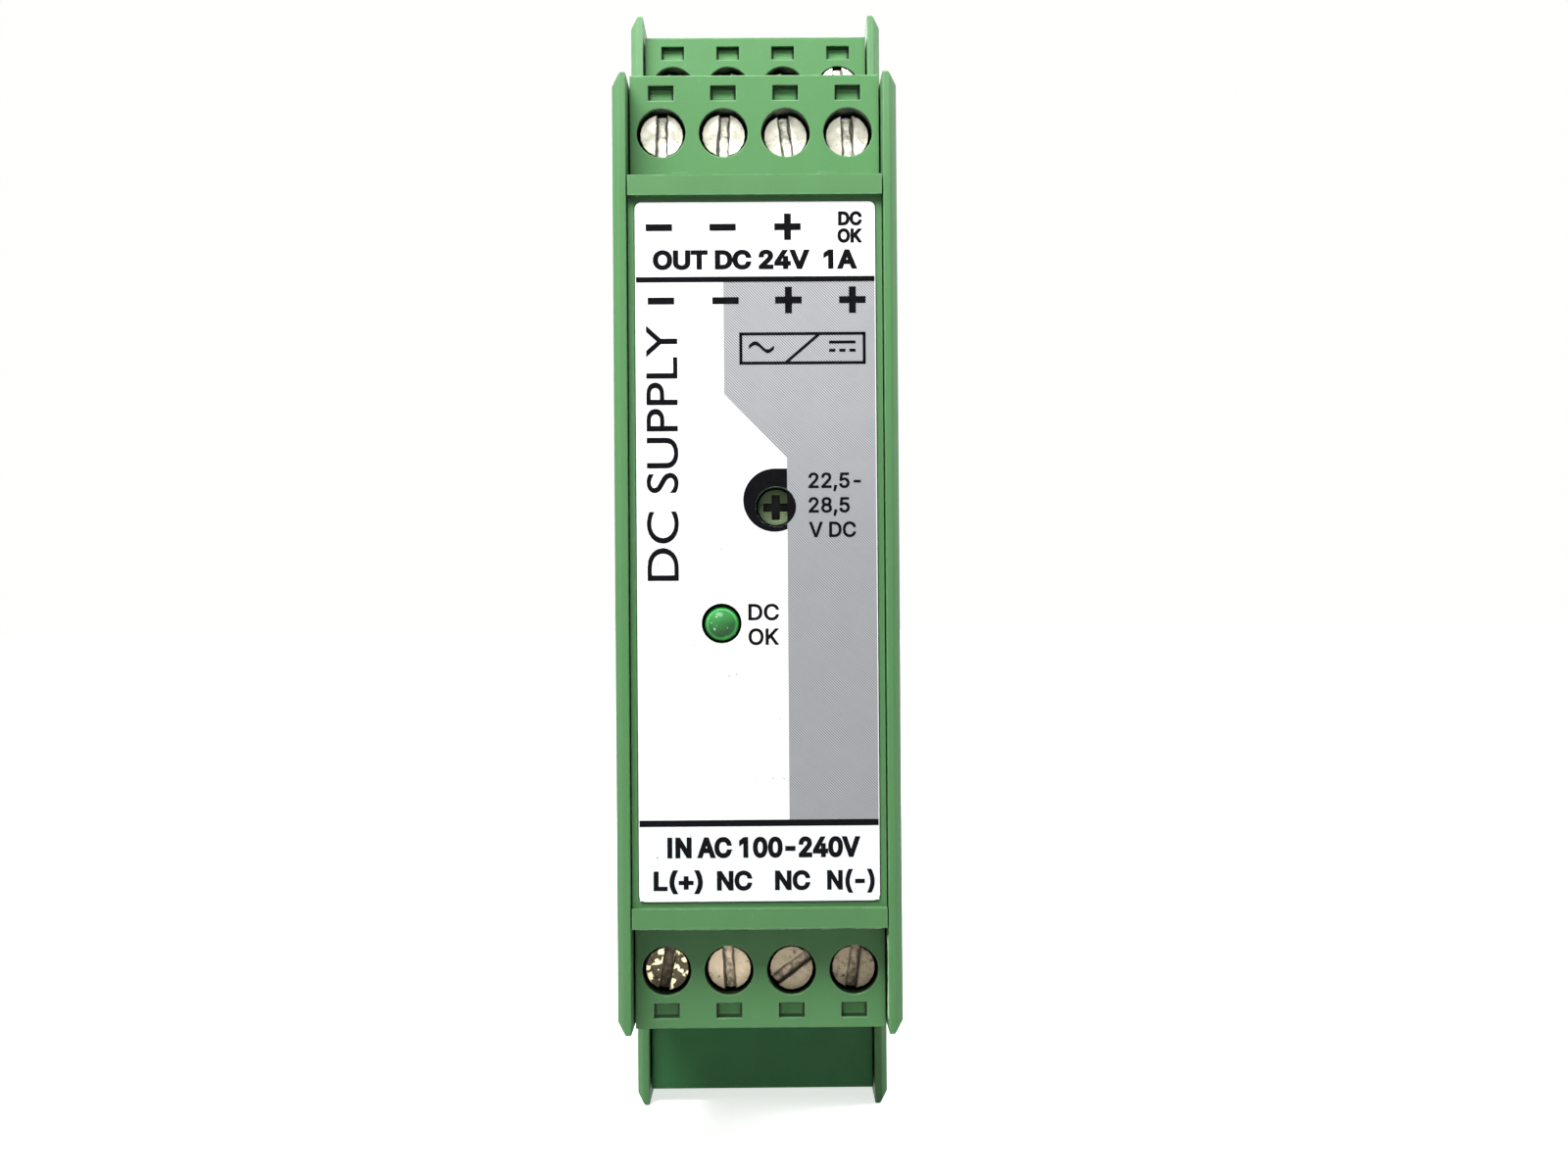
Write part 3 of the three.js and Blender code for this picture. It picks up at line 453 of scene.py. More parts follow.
GREEN = (0.070, 0.190, 0.069)
finishes = {
    "housing_green": moulded("housing_green", GREEN, grime_and_painted_shade=0.38, paler_above=PALER_FROM),
    # The blank's darker green is partly its own colour and partly painted shade.
    "blank_green": moulded("blank_green", (0.030, 0.135, 0.044), roughness=0.55),
    "header_green": moulded("header_green", shade(GREEN, 0.70)),
    "label_foil": foil("label_foil"),
    "latch_black": moulded("latch_black", (0.022, 0.022, 0.024), cloud=0.2, pale_edges=0.12, sheen=0.0),
    "spring_steel": metal("spring_steel", (0.55, 0.56, 0.58), 0.3),
    "clamp_nickel": metal("clamp_nickel", (0.62, 0.60, 0.54), 0.36, (1, 0.15, 1)),
    "circuit_board": solder_mask("circuit_board"),
    "trimmer_blue": moulded("trimmer_blue", (0.03, 0.10, 0.34), 0.34, cloud=0.12, pale_edges=0.25, sheen=0.0),
    "ferrite": sintered("ferrite", (0.028, 0.028, 0.03)),
    "bobbin_black": moulded("bobbin_black", (0.02, 0.02, 0.022), cloud=0.2, pale_edges=0.15, sheen=0.0),
    "winding_tape": moulded("winding_tape", (0.66, 0.46, 0.07), 0.28, 0.02, pale_edges=0.2),
    "capacitor_sleeve": moulded("capacitor_sleeve", (0.02, 0.028, 0.05), 0.3, pale_edges=0.2, sheen=0.0),
    "heatsink_aluminium": metal("heatsink_aluminium", (0.68, 0.69, 0.71), 0.4, (1, 1, 0.1)),
    "chip_black": sintered("chip_black", (0.018, 0.018, 0.02), 0.5),
    "film_yellow": moulded("film_yellow", (0.62, 0.42, 0.06), 0.34, pale_edges=0.25),
    "fuse_ceramic": sintered("fuse_ceramic", (0.62, 0.58, 0.47), 0.4, 0.06, 0.01),
}
copper = metal("copper_enamel", (0.72, 0.30, 0.12), 0.28)
tin = metal("tinned_wire", (0.70, 0.70, 0.69), 0.3)
solder = metal("solder", (0.66, 0.67, 0.68), 0.26)

# Each screw's plating, as colour and dirt. The rows differ as they do on a used module.
BRIGHT = (0.84, 0.82, 0.69)
TIRED = (0.20, 0.165, 0.115)
GOLD_FLECKED = ("bottom_front", 4)
screw_looks = {
    "top_front": [(BRIGHT, 0.10), (BRIGHT, 0.16), (shade(BRIGHT, 1.08), 0.12), (BRIGHT, 0.12)],
    "top_rear": [(shade(BRIGHT, 0.9), 0.25), (shade(BRIGHT, 0.9), 0.2), (shade(BRIGHT, 0.85), 0.3),
                 (BRIGHT, 0.05)],
    "bottom_front": [(shade(TIRED, 0.8), 0.55), (TIRED, 0.35), (shade(TIRED, 1.7), 0.30),
                     (shade(TIRED, 0.35), 0.6)],
}


def middle(node):
    low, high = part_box(node)
    return (low + high) / 2


_, led_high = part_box("status_led")
LED_RADIUS = 1.5 * MM
finishes["rotor_grey"] = moulded("rotor_grey", srgb(122, 138, 104), 0.5, cloud=0.14, pale_edges=0.35,
                                 pit=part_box("trimmer_rotor")[0].y + 0.12 * MM)
finishes["led_green"] = lens("led_green", (0.040, 0.20, 0.055), middle("status_led"), LED_RADIUS)

for row in ROWS:
    screw_z = middle(f"{row}_screw_1").z
    window_z = screw_z + (-WINDOW_OFFSET if row.startswith("bottom") else WINDOW_OFFSET)
    finishes[f"{row}_plug"] = moulded(f"{row}_plug", shade(GREEN, 1.04), roughness=0.42, rounded=0.14,
                                      face=(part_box(f"{row}_plug")[0].y, screw_z, window_z))
    for pole in POLES:
        colour, dirt = screw_looks[row][pole - 1]
        node = f"{row}_screw_{pole}"
        gold = 0.9 if (row, pole) == GOLD_FLECKED else 0.0
        turn = math.radians(SLOT_TURNS[row][pole - 1])
        finishes[node] = screw_metal(node, middle(node), colour, dirt, turn, gold)


# ------------------------------------------------------------------ CAD nodes: finish and softened edges

# Width of the rounding on each kind of part, in millimetres.
edge_width = {
    "housing_base": 0.14, "front_cover": 0.13, "terminal_blank": 0.16, "foot_latch": 0.18,
    "front_label": 0.03, "status_led": 0.0, "trimmer_rotor": 0.07, "latch_spring": 0.0,
    **{f"{row}_plug": 0.0 for row in ROWS},
    **{f"{row}_screw_{pole}": 0.09 for row in ROWS for pole in POLES},
    **{f"{row}_clamp_{pole}": 0.07 for row in ROWS for pole in POLES},
}
INNER_EDGE = 0.12


def soften(obj, width):
    """Joins the corners that a mesh file splits, rounds its sharp edges and shades the faces flat."""
    weld = obj.modifiers.new("weld", "WELD")
    weld.merge_threshold = 1e-6
    if width:
        bevel = obj.modifiers.new("edges", "BEVEL")
        bevel.width = width * MM
        bevel.segments = 2
        bevel.limit_method = "ANGLE"
        bevel.angle_limit = math.radians(38)
        bevel.use_clamp_overlap = True
        bevel.miter_outer = "MITER_ARC"
    split = obj.modifiers.new("split", "EDGE_SPLIT")
    split.split_angle = math.radians(20)
    even = obj.modifiers.new("even", "WEIGHTED_NORMAL")
    even.weight = 60
    even.keep_sharp = False


for name, obj in nodes.items():
    for polygon in obj.data.polygons:
        polygon.use_smooth = True
    soften(obj, edge_width.get(name, INNER_EDGE))
    finish_name = name if name in finishes else slot_of[name]
    obj.material_slots[0].material = finishes[finish_name]


# ------------------------------------------------------------------ helpers for added pieces


def piece(name, mesh, material, body="root"):
    obj = bpy.data.objects.new(name, mesh)
    scene.collection.objects.link(obj)
    mesh.materials.clear()
    mesh.materials.append(material)
    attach(obj, body)
    return obj


def joined(parts, smooth=False):
    """One mesh from several bmesh builders' results."""
    out = bmesh.new()
    for part in parts:
        mesh = bpy.data.meshes.new("part")
        part.to_mesh(mesh)
        part.free()
        out.from_mesh(mesh)
        bpy.data.meshes.remove(mesh)
    for face in out.faces:
        face.smooth = smooth
    mesh = bpy.data.meshes.new("joined")
    out.to_mesh(mesh)
    out.free()
    return mesh


def block(low, high, bevel=0.0):
    """A box between two corners, with bevelled edges."""
    out = bmesh.new()
    bmesh.ops.create_cube(out, size=1.0)
    low, high = Vector(low), Vector(high)
    bmesh.ops.scale(out, vec=high - low, verts=out.verts)
    bmesh.ops.translate(out, vec=(low + high) / 2, verts=out.verts)
    if bevel:
        bmesh.ops.bevel(out, geom=list(out.edges), offset=bevel, segments=2, affect="EDGES", profile=0.5)
    return out


def tube(points, radius, sides=10):
    """A round wire through points, with its ends closed."""
    out = bmesh.new()
    points = [Vector(p) for p in points]
    rings = []
    side = None
    for index, point in enumerate(points):
        before = points[max(index - 1, 0)]
        after = points[min(index + 1, len(points) - 1)]
        along = (after - before).normalized()
        if side is None:
            side = along.orthogonal().normalized()
        side = (side - along * side.dot(along)).normalized()
        up = along.cross(side)
        rings.append([
            out.verts.new(point + radius * (math.cos(a) * side + math.sin(a) * up))
            for a in (2 * math.pi * k / sides for k in range(sides))
        ])
    for a, b in zip(rings, rings[1:]):
        for k in range(sides):
            out.faces.new((a[k], a[(k + 1) % sides], b[(k + 1) % sides], b[k]))
    out.faces.new(list(reversed(rings[0])))
    out.faces.new(rings[-1])
    return out


def rounded_path(points, radius, steps=4):
    """The points with each inner corner turned into an arc."""
    points = [Vector(p) for p in points]
    path = [points[0]]
    for before, corner, after in zip(points, points[1:], points[2:]):
        start = corner + (before - corner).normalized() * radius
        end = corner + (after - corner).normalized() * radius
        for step in range(steps + 1):
            t = step / steps
            path.append((1 - t) ** 2 * start + 2 * t * (1 - t) * corner + t ** 2 * end)
    path.append(points[-1])
    return path


# ------------------------------------------------------------------ print on the front label

label_low, label_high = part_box("front_label")
label_x = (label_low.x + label_high.x) / 2
label_z = (label_low.z + label_high.z) / 2
half_x = (label_high.x - label_low.x) / 2 / MM
half_z = (label_high.z - label_low.z) / 2 / MM
LABEL_EDGE = 0.06
ART_SHIFT = 0.06
LAYER = 0.003 * MM


def on_label(x, z, layer):
    """A point of the print, from millimetres about the label's middle. Layers stack 3 micrometres apart."""
    return Vector((label_x + x * MM, label_low.y - LAYER * layer, label_z + (z - ART_SHIFT) * MM))


def sides_of(ring):
    """Each point of a ring with the next."""
    return zip(ring, [*ring[1:], ring[0]])


def area(ring):
    return sum(x0 * z1 - x1 * z0 for (x0, z0), (x1, z1) in sides_of(ring)) / 2


def winding(x, z, rings):
    """How many times the rings go round a point."""
    count = 0
    for ring in rings:
        for (x0, z0), (x1, z1) in sides_of(ring):
            if (z0 <= z) != (z1 <= z):
                crossing = x0 + (z - z0) / (z1 - z0) * (x1 - x0)
                if crossing > x:
                    count += 1 if z1 > z0 else -1
    return count


def filled(rings, place):
    """Triangles that fill the rings, which may overlap. place turns a ring's point into one of the part."""
    points, sides = [], []
    for ring in rings:
        first = len(points)
        points += [Vector(p) for p in ring]
        sides += [(first + k, first + (k + 1) % len(ring)) for k in range(len(ring))]
    corners, _, faces, *_ = delaunay_2d_cdt(points, sides, [], 0, 1e-6)
    out = bmesh.new()
    verts = [out.verts.new(place(*c)) for c in corners]
    for face in faces:
        x, z = sum((corners[k] for k in face), Vector((0, 0))) / len(face)
        if winding(x, z, rings):
            made = out.faces.new([verts[k] for k in face])
            made.normal_update()
            if made.normal.y > 0:
                made.normal_flip()
    bmesh.ops.delete(out, geom=[v for v in out.verts if not v.link_faces], context="VERTS")
    return out


HOLE_SIDES = 48


def flat_shape(outline, layer, holes=()):
    """A thin printed area inside an outline, with round holes as (x, z, radius)."""
    rings = [outline if area(outline) > 0 else outline[::-1]]
    for x, z, radius in holes:
        rings.append([(x + radius * math.cos(a), z - radius * math.sin(a))
                      for a in (2 * math.pi * k / HOLE_SIDES for k in range(HOLE_SIDES))])
    return filled(rings, lambda x, z: on_label(x, z, layer))


def bar(x0, x1, z0, z1, layer=4):
    return flat_shape([(x0, z0), (x1, z0), (x1, z1), (x0, z1)], layer)


# Blender brings this grotesque with it; its own default face stands in where the file is missing.
FACE_FILE = os.path.join(bpy.utils.resource_path("LOCAL"), "datafiles", "fonts", "Inter.woff2")
GROTESQUE = bpy.data.fonts.load(FACE_FILE) if os.path.exists(FACE_FILE) else None


# Points on a curved and on a straight side of a letter, and the bend below which a side is straight.
CURVE_POINTS = 7
LINE_POINTS = 2
STRAIGHT = 1e-5

# The face's I and 1 stand on slabs, which the print has not. In ems: a 1's slab is a ring of its own,
# flatter and wider than these, and an I with its slabs is a ring with four places in X, of this width.
SLAB_FLAT = 0.06
SLAB_WIDE = 0.25
SLABBED_I = (0.22, 0.26)
I_TALL = 0.45


def without_slabs(rings):
    """The rings without the slab of a 1, and with each I as a plain stem."""
    kept = []
    for ring in rings:
        xs, zs = sorted({round(x, 3) for x, _ in ring}), [z for _, z in ring]
        wide, high = xs[-1] - xs[0], max(zs) - min(zs)
        if min(zs) == 0 and high < SLAB_FLAT and wide > SLAB_WIDE:
            continue
        if len(xs) == 4 and SLABBED_I[0] < wide < SLABBED_I[1] and high > I_TALL:
            ring = [(xs[1], 0.0), (xs[1], high), (xs[2], high), (xs[2], 0.0)]
        kept.append(ring)
    return kept


def letter_rings(text, face):
    """The outlines of a line of lettering, one em high."""
    font = bpy.data.curves.new("words", "FONT")
    font.body = text
    if face:
        font.font = face
    obj = bpy.data.objects.new("words", font)
    scene.collection.objects.link(obj)
    rings = []
    for spline in obj.to_curve(bpy.context.evaluated_depsgraph_get()).splines:
        knots = list(spline.bezier_points)
        ring = []
        for a, b in sides_of(knots):
            chord = b.co - a.co
            bend = (a.handle_right - a.co).cross(chord).length + (b.handle_left - b.co).cross(chord).length
            steps = CURVE_POINTS if bend > STRAIGHT else LINE_POINTS
            arc = interpolate_bezier(a.co, a.handle_right, b.handle_left, b.co, steps)
            ring += [(p.x, p.y) for p in arc[:-1]]
        rings.append(ring)
    bpy.data.objects.remove(obj)
    return without_slabs(rings) if face else rings


# The least cosine of half a corner's turn, which keeps a sharp corner from growing into a spike.
SHARPEST = 0.45


def thickened(rings, by):
    """The rings moved away from the ink, which makes the strokes bolder."""
    side = math.copysign(by, area(max(rings, key=lambda ring: abs(area(ring)))))
    moved = []
    for ring in rings:
        grown = []
        for before, here, after in zip([ring[-1], *ring[:-1]], ring, [*ring[1:], ring[0]]):
            a = (Vector(here) - Vector(before)).normalized()
            b = (Vector(after) - Vector(here)).normalized()
            along = (a + b).normalized() if (a + b).length > 1e-6 else a
            reach = side / max(SHARPEST, along.dot(b))
            grown.append((here[0] + along.y * reach, here[1] - along.x * reach))
        moved.append(grown)
    return moved


def words(text, x0, baseline, cap, width=None, weight=0.0, turned=False, layer=4, face=GROTESQUE):
    """Lettering with its left end at x0, a capital height and, where given, a full width."""
    rings = thickened(letter_rings(text, face), weight)
    xs = [x for ring in rings for x, _ in ring]
    capital = max(z for ring in thickened(letter_rings("H", face), weight) for _, z in ring)
    scale_z = cap / capital
    scale_x = width / (max(xs) - min(xs)) if width else scale_z
    start = min(xs)

    def place(x, z):
        u, v = (x - start) * scale_x, z * scale_z
        return on_label(x0 - v, baseline + u, layer) if turned else on_label(x0 + u, baseline + v, layer)

    return filled(rings, place)


# How far the strokes' outlines move out, in ems.
BOLD = 0.043
HALF_BOLD = 0.036
REGULAR = 0.020
THIN = 0.004

pot = middle("trimmer_rotor")
led = middle("status_led")
POT_HOLE_RADIUS = 1.6
pot_hole = ((pot.x - label_x) / MM, (pot.z - label_z) / MM + ART_SHIFT, POT_HOLE_RADIUS)

# Millimetres from the label's middle: the edges of the two black rules and of the grey area.
RULE_TOP = 21.78
RULE_TOP_LOW = 21.35
RULE_LOW = -21.16
RULE_LOW_LOW = -21.66
GREY_LEFT = -2.54
GREY_STEP = 2.40
SLANT_TOP = 12.5
SLANT_FOOT = 7.4
right = half_x - LABEL_EDGE
left = -right
low_end = -half_z + LABEL_EDGE + ART_SHIFT

grey_area = [(GREY_LEFT, RULE_TOP_LOW), (GREY_LEFT, SLANT_TOP), (GREY_STEP, SLANT_FOOT),
             (GREY_STEP, RULE_LOW), (right, RULE_LOW), (right, RULE_TOP_LOW)]
panel_area = [(left, low_end), (right, low_end), (right, RULE_LOW_LOW), (left, RULE_LOW_LOW)]
piece("label_print_grey", joined([flat_shape(grey_area, 1)]),
      halftone("print_grey", (0.47, 0.475, 0.485), (0.17, 0.18, 0.195), SCREEN_PITCH))
piece("label_print_panel", joined([flat_shape(panel_area, 1)]),
      foil("print_panel", (0.80, 0.86, 0.90)))


def teardrop():
    """The black mark round the trimmer: a disc with one square corner, cut off by the grey area's edge."""
    cx, cz, radius = 1.42, 4.07, 2.5
    sides = 64
    corner_sides = 10
    lean = math.radians(34)
    ring = []
    for step in range(corner_sides, sides + 1):
        angle = 2 * math.pi * step / sides + lean
        x, z = cx + radius * math.cos(angle), cz + radius * math.sin(angle)
        if x <= GREY_STEP:
            ring.append((x, z))
    ring.append((GREY_STEP, ring[-1][1]))
    ring.append((GREY_STEP, cz + radius))
    ring.append((cx, cz + radius))
    ordered = sorted(ring, key=lambda p: math.atan2(p[1] - cz, p[0] - cx))
    return flat_shape(ordered, 3, [pot_hole])


def minus(x, z, half=1.05, stroke=0.275):
    return [bar(x - half, x + half, z - stroke, z + stroke)]


def plus(x, z, half=1.05, stroke=0.275):
    arms = [(-half, -stroke), (-stroke, -stroke), (-stroke, -half), (stroke, -half), (stroke, -stroke),
            (half, -stroke), (half, stroke), (stroke, stroke), (stroke, half), (-stroke, half),
            (-stroke, stroke), (-half, stroke)]
    return [flat_shape([(x + u, z + v) for u, v in arms], 4)]


def converter_symbol(x0, x1, z0, z1, line=0.24):
    """The drawing symbol of an AC to DC converter: a box with a diagonal, a wave and a double line."""
    parts = [bar(x0, x1, z0, z0 + line), bar(x0, x1, z1 - line, z1),
             bar(x0, x0 + line, z0, z1), bar(x1 - line, x1, z0, z1)]
    mid = (x0 + x1) / 2
    lean = (z1 - z0) / 2
    parts.append(flat_shape([(mid - lean - line / 2, z0 + line), (mid - lean + line, z0 + line),
                             (mid + lean + line / 2, z1 - line), (mid + lean - line, z1 - line)], 4))
    wave_x, wave_z = x0 + 1.75, (z0 + z1) / 2 + 0.25
    top = [(wave_x + 1.0 * (t / 12 - 1), wave_z + 0.32 * math.sin(math.pi * t / 12)) for t in range(25)]
    under = [(x, z - line * 1.3) for x, z in reversed(top)]
    parts.append(flat_shape(top + under, 4))
    parts.append(bar(x1 - 2.9, x1 - 0.8, wave_z + 0.1, wave_z + 0.1 + line))
    for k in range(3):
        dash = x1 - 2.9 + k * 0.8
        parts.append(bar(dash, dash + 0.5, wave_z - 0.55, wave_z - 0.55 + line))
    return parts


black = [
    bar(left, right, RULE_TOP_LOW, RULE_TOP), bar(left, right, RULE_LOW_LOW, RULE_LOW),
    *minus(-7.60, 25.69), *minus(-2.56, 25.69), *plus(2.58, 25.71),
    words("DC", 6.58, 25.86, 1.05, 1.9, BOLD), words("OK", 6.52, 24.50, 1.05, 2.0, BOLD),
    words("OUT DC 24V  1A", -8.10, 22.46, 1.43, 16.19, BOLD),
    *minus(-7.47, 19.88), *minus(-2.37, 19.88), *plus(2.61, 19.90), *plus(7.67, 19.90),
    *converter_symbol(-1.3, 8.7, 14.8, 17.35),
    words("DC SUPPLY", -6.22, -2.25, 2.45, 20.2, THIN, turned=True, face=None),
    words("22,5-", 4.09, 5.04, 1.18, None, REGULAR), words("28,5", 4.09, 3.10, 1.18, None, REGULAR),
    words("V DC", 4.09, 1.16, 1.18, None, REGULAR),
    words("DC", -0.74, -5.37, 1.25, 2.44, REGULAR), words("OK", -0.74, -7.31, 1.25, 2.44, REGULAR),
    words("IN AC 100-240V", -7.26, -24.03, 1.52, 15.25, BOLD),
    words("L(+)", -8.36, -26.62, 1.45, 3.89, HALF_BOLD), words("NC", -3.36, -26.62, 1.45, 2.79, HALF_BOLD),
    words("NC", 1.22, -26.62, 1.45, 2.79, HALF_BOLD), words("N(-)", 5.33, -26.62, 1.45, 3.76, HALF_BOLD),
    teardrop(),
]
piece("label_print_black", joined(black), ink("print_black", (0.0035, 0.0035, 0.0045)))


# ------------------------------------------------------------------ contacts

# Pins of a header and contact bars of a plug. Depths count from the plug's face.
PIN_DEPTH = 10.4 * MM
PIN_HALF = Vector((0.5, 0.4, 0)) * MM
PIN_ENDS = (0.1 * MM, 10.4 * MM)  # from the header's inner end
PIN_CHAMFER = 0.15 * MM
BAR_HALF = 1.15 * MM
BAR_DEPTHS = (10.05 * MM, 10.75 * MM)
BAR_START = 4.0 * MM  # from the plug's inner end
BAR_LAP = 2.6 * MM  # past the clamp's middle
BAR_CHAMFER = 0.12 * MM

for row in ROWS:
    plug_low, plug_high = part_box(f"{row}_plug")
    header_low, header_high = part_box(f"{row}_header")
    out = -1 if row.startswith("bottom") else 1
    header_inner = header_low.z if out > 0 else header_high.z
    plug_inner = plug_low.z if out > 0 else plug_high.z
    face_y = plug_low.y
    pins, bars = [], []
    for pole in POLES:
        x = middle(f"{row}_screw_{pole}").x
        near, far = sorted(header_inner + out * end for end in PIN_ENDS)
        pins.append(block(Vector((x, face_y + PIN_DEPTH, near)) - PIN_HALF,
                          Vector((x, face_y + PIN_DEPTH, far)) + PIN_HALF, PIN_CHAMFER))
        clamp_z = middle(f"{row}_clamp_{pole}").z
        near, far = sorted((plug_inner + out * BAR_START, clamp_z + out * BAR_LAP))
        bars.append(block((x - BAR_HALF, face_y + BAR_DEPTHS[0], near),
                          (x + BAR_HALF, face_y + BAR_DEPTHS[1], far), BAR_CHAMFER))
    piece(f"{row}_pins", joined(pins), tin)
    piece(f"{row}_contacts", joined(bars), finishes["clamp_nickel"], f"{row}_plug")


# ------------------------------------------------------------------ latch spring

latch_low, latch_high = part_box("latch_spring")
SPRING_TURNS = 9
SPRING_WIRE = 0.21 * MM  # radius of the wire
CLOSED_TURNS = 0.8  # at each end
TURN_STEPS = 24


def spring_path():
    """A compression spring with closed ends."""
    steps = SPRING_TURNS * TURN_STEPS
    radius = (latch_high.x - latch_low.x) / 2 - SPRING_WIRE
    centre = (latch_low + latch_high) / 2
    low, high = latch_low.z + SPRING_WIRE, latch_high.z - SPRING_WIRE
    span = high - low - 2 * CLOSED_TURNS * SPRING_WIRE * 2
    path = []
    for step in range(steps + 1):
        turns = step / steps * SPRING_TURNS
        rise = min(max((turns - CLOSED_TURNS) / (SPRING_TURNS - 2 * CLOSED_TURNS), 0.0), 1.0)
        closed = min(turns, CLOSED_TURNS) + max(turns - SPRING_TURNS + CLOSED_TURNS, 0)
        angle = 2 * math.pi * turns
        path.append(Vector((centre.x + radius * math.cos(angle), centre.y + radius * math.sin(angle),
                            low + 2 * SPRING_WIRE * closed + rise * span)))
    return path


spring = piece("latch_coil", joined([tube(spring_path(), SPRING_WIRE, 10)], True),
               finishes["spring_steel"])
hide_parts("latch_spring")
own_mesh(spring)


# ------------------------------------------------------------------ leads, windings and solder

board_low, board_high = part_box("main_board")
SOLDER_SIDE = board_low.x - 0.7 * MM
LEAD_BEND = 0.6 * MM
blobs, leads = [], []


def solder_blob(y, z):
    out = bmesh.new()
    bmesh.ops.create_cone(out, cap_ends=True, segments=14, radius1=0.95 * MM, radius2=0.3 * MM,
                          depth=0.6 * MM)
    bmesh.ops.rotate(out, matrix=Matrix.Rotation(-math.pi / 2, 3, "Y"), verts=out.verts)
    bmesh.ops.translate(out, vec=(board_low.x - 0.3 * MM, y, z), verts=out.verts)
    blobs.append(out)


def lead(start, y, z, radius=0.3, bent=False):
    """A lead from a part down through the main board, first along it where it is bent."""
    start, end = Vector(start), Vector((SOLDER_SIDE, y, z))
    path = rounded_path([start, Vector((start.x, y, z)), end], LEAD_BEND) if bent else [start, end]
    leads.append(tube(path, radius * MM, 8))
    solder_blob(y, z)


def upright_leads(node, offsets, radius=0.3):
    """Straight leads below a part, at offsets in Y and Z from its middle."""
    low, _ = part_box(node)
    centre = middle(node)
    for dy, dz in offsets:
        y, z = centre.y + dy * MM, centre.z + dz * MM
        lead((low.x + 0.5 * MM, y, z), y, z, radius)


upright_leads("output_capacitor_1", [(0, -1.75), (0, 1.75)])
upright_leads("output_capacitor_2", [(0, -1.75), (0, 1.75)])
upright_leads("mains_filter_capacitor", [(0, -6), (0, 6)])
upright_leads("output_choke", [(-3.4, 0), (3.4, 0)])
upright_leads("transformer_bobbin", [(dy, dz) for dz in (-5.6, 5.6) for dy in (-3, -1, 1, 3)], 0.25)
upright_leads("bridge_rectifier", [(-2.2, -3), (-2.2, 3), (2.2, -3), (2.2, 3)], 0.25)
upright_leads("feedback_optocoupler", [(-2.6, -1.3), (-2.6, 1.3), (2.6, -1.3), (2.6, 1.3)], 0.22)
for node in ("switching_transistor", "output_rectifier"):
    upright_leads(node, [(0, -2.54), (0, 0), (0, 2.54)], 0.28)
for node in ("mains_fuse", "surge_absorber"):
    low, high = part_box(node)
    centre = middle(node)
    for z, side in ((low.z, -1), (high.z, 1)):
        lead((centre.x, centre.y, z - side * 0.4 * MM), centre.y, z + side * 1.6 * MM, 0.32, bent=True)
low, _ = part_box("bulk_capacitor")
centre = middle("bulk_capacitor")
for dy in (-2.5, 2.5):
    y = centre.y + dy * MM
    lead((centre.x, y, low.z + 0.3 * MM), y, low.z - 2.2 * MM, 0.35, bent=True)

# The front board's light, trimmer and the header that joins it to the main board.
HEADER_PITCH = 2.54
TAIL = 0.8 * MM  # how far a lead comes through the front board
BOARD_GAP = 1.6 * MM
front_low, front_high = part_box("front_board")
for dx in (-HEADER_PITCH / 4, HEADER_PITCH / 4):
    x = led.x + dx * MM
    leads.append(tube([(x, led_high.y - 0.3 * MM, led.z), (x, front_high.y + TAIL, led.z)], 0.22 * MM, 8))
for dx, dz in ((-2.5, -1.2), (0, 1.6), (2.5, -1.2)):
    x, z = pot.x + dx * MM, pot.z + dz * MM
    leads.append(tube([(x, front_low.y - 0.2 * MM, z), (x, front_high.y + TAIL, z)], 0.25 * MM, 8))
for k in range(6):
    x, z = board_high.x + BOARD_GAP, (k - 2.5) * HEADER_PITCH * MM
    y_end = front_high.y + 3 * MM
    hook = [(x, front_high.y - 0.8 * MM, z), (x, y_end, z), (SOLDER_SIDE, y_end, z)]
    leads.append(tube(rounded_path(hook, 0.8 * MM), 0.3 * MM, 8))
piece("leads", joined(leads, True), tin)
piece("solder_joints", joined(blobs, True), solder)


RING_THICKNESS = 3.4 * MM
RING_TURNS = 11  # in each of the two windings
RING_ARC = 140  # degrees that a winding covers
RING_STEPS = 16
SQUARENESS = 1.35  # how far each turn's circle is flattened into a square
ROD_MARGIN = 1.5 * MM


def clipped(value):
    return max(-1, min(1, value))


def choke_winding():
    """Two windings of enamelled wire round the ring core."""
    low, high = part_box("mains_choke_core")
    centre = (low + high) / 2
    outer = (high.z - low.z) / 2
    inner = outer - RING_THICKNESS
    half = (high.x - low.x) / 2
    wire = 0.34 * MM
    swing = (outer - inner) / 2 + wire * 1.3
    steps = RING_TURNS * RING_STEPS
    parts = []
    for start in (20, 200):
        path = []
        for step in range(steps + 1):
            around = math.radians(start + RING_ARC * step / steps)
            phase = 2 * math.pi * step / RING_STEPS
            radius = (outer + inner) / 2 + swing * clipped(SQUARENESS * math.cos(phase))
            x = centre.x + (half + wire * 1.2) * clipped(SQUARENESS * math.sin(phase))
            path.append(Vector((x, centre.y + radius * math.sin(around),
                                centre.z + radius * math.cos(around))))
        parts.append(tube(path, wire, 8))
    return parts


def rod_winding():
    """A single layer of wire round the rod choke."""
    low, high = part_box("output_choke")
    centre = (low + high) / 2
    wire = 0.3 * MM
    radius = (high.z - low.z) / 2 + wire
    length = high.x - low.x - 2 * ROD_MARGIN
    steps = int(length / (2.1 * wire)) * TURN_STEPS
    path = []
    for step in range(steps + 1):
        angle = 2 * math.pi * step / TURN_STEPS
        path.append(Vector((low.x + ROD_MARGIN + step / steps * length,
                            centre.y + radius * math.cos(angle), centre.z + radius * math.sin(angle))))
    return [tube(path, wire, 8)]


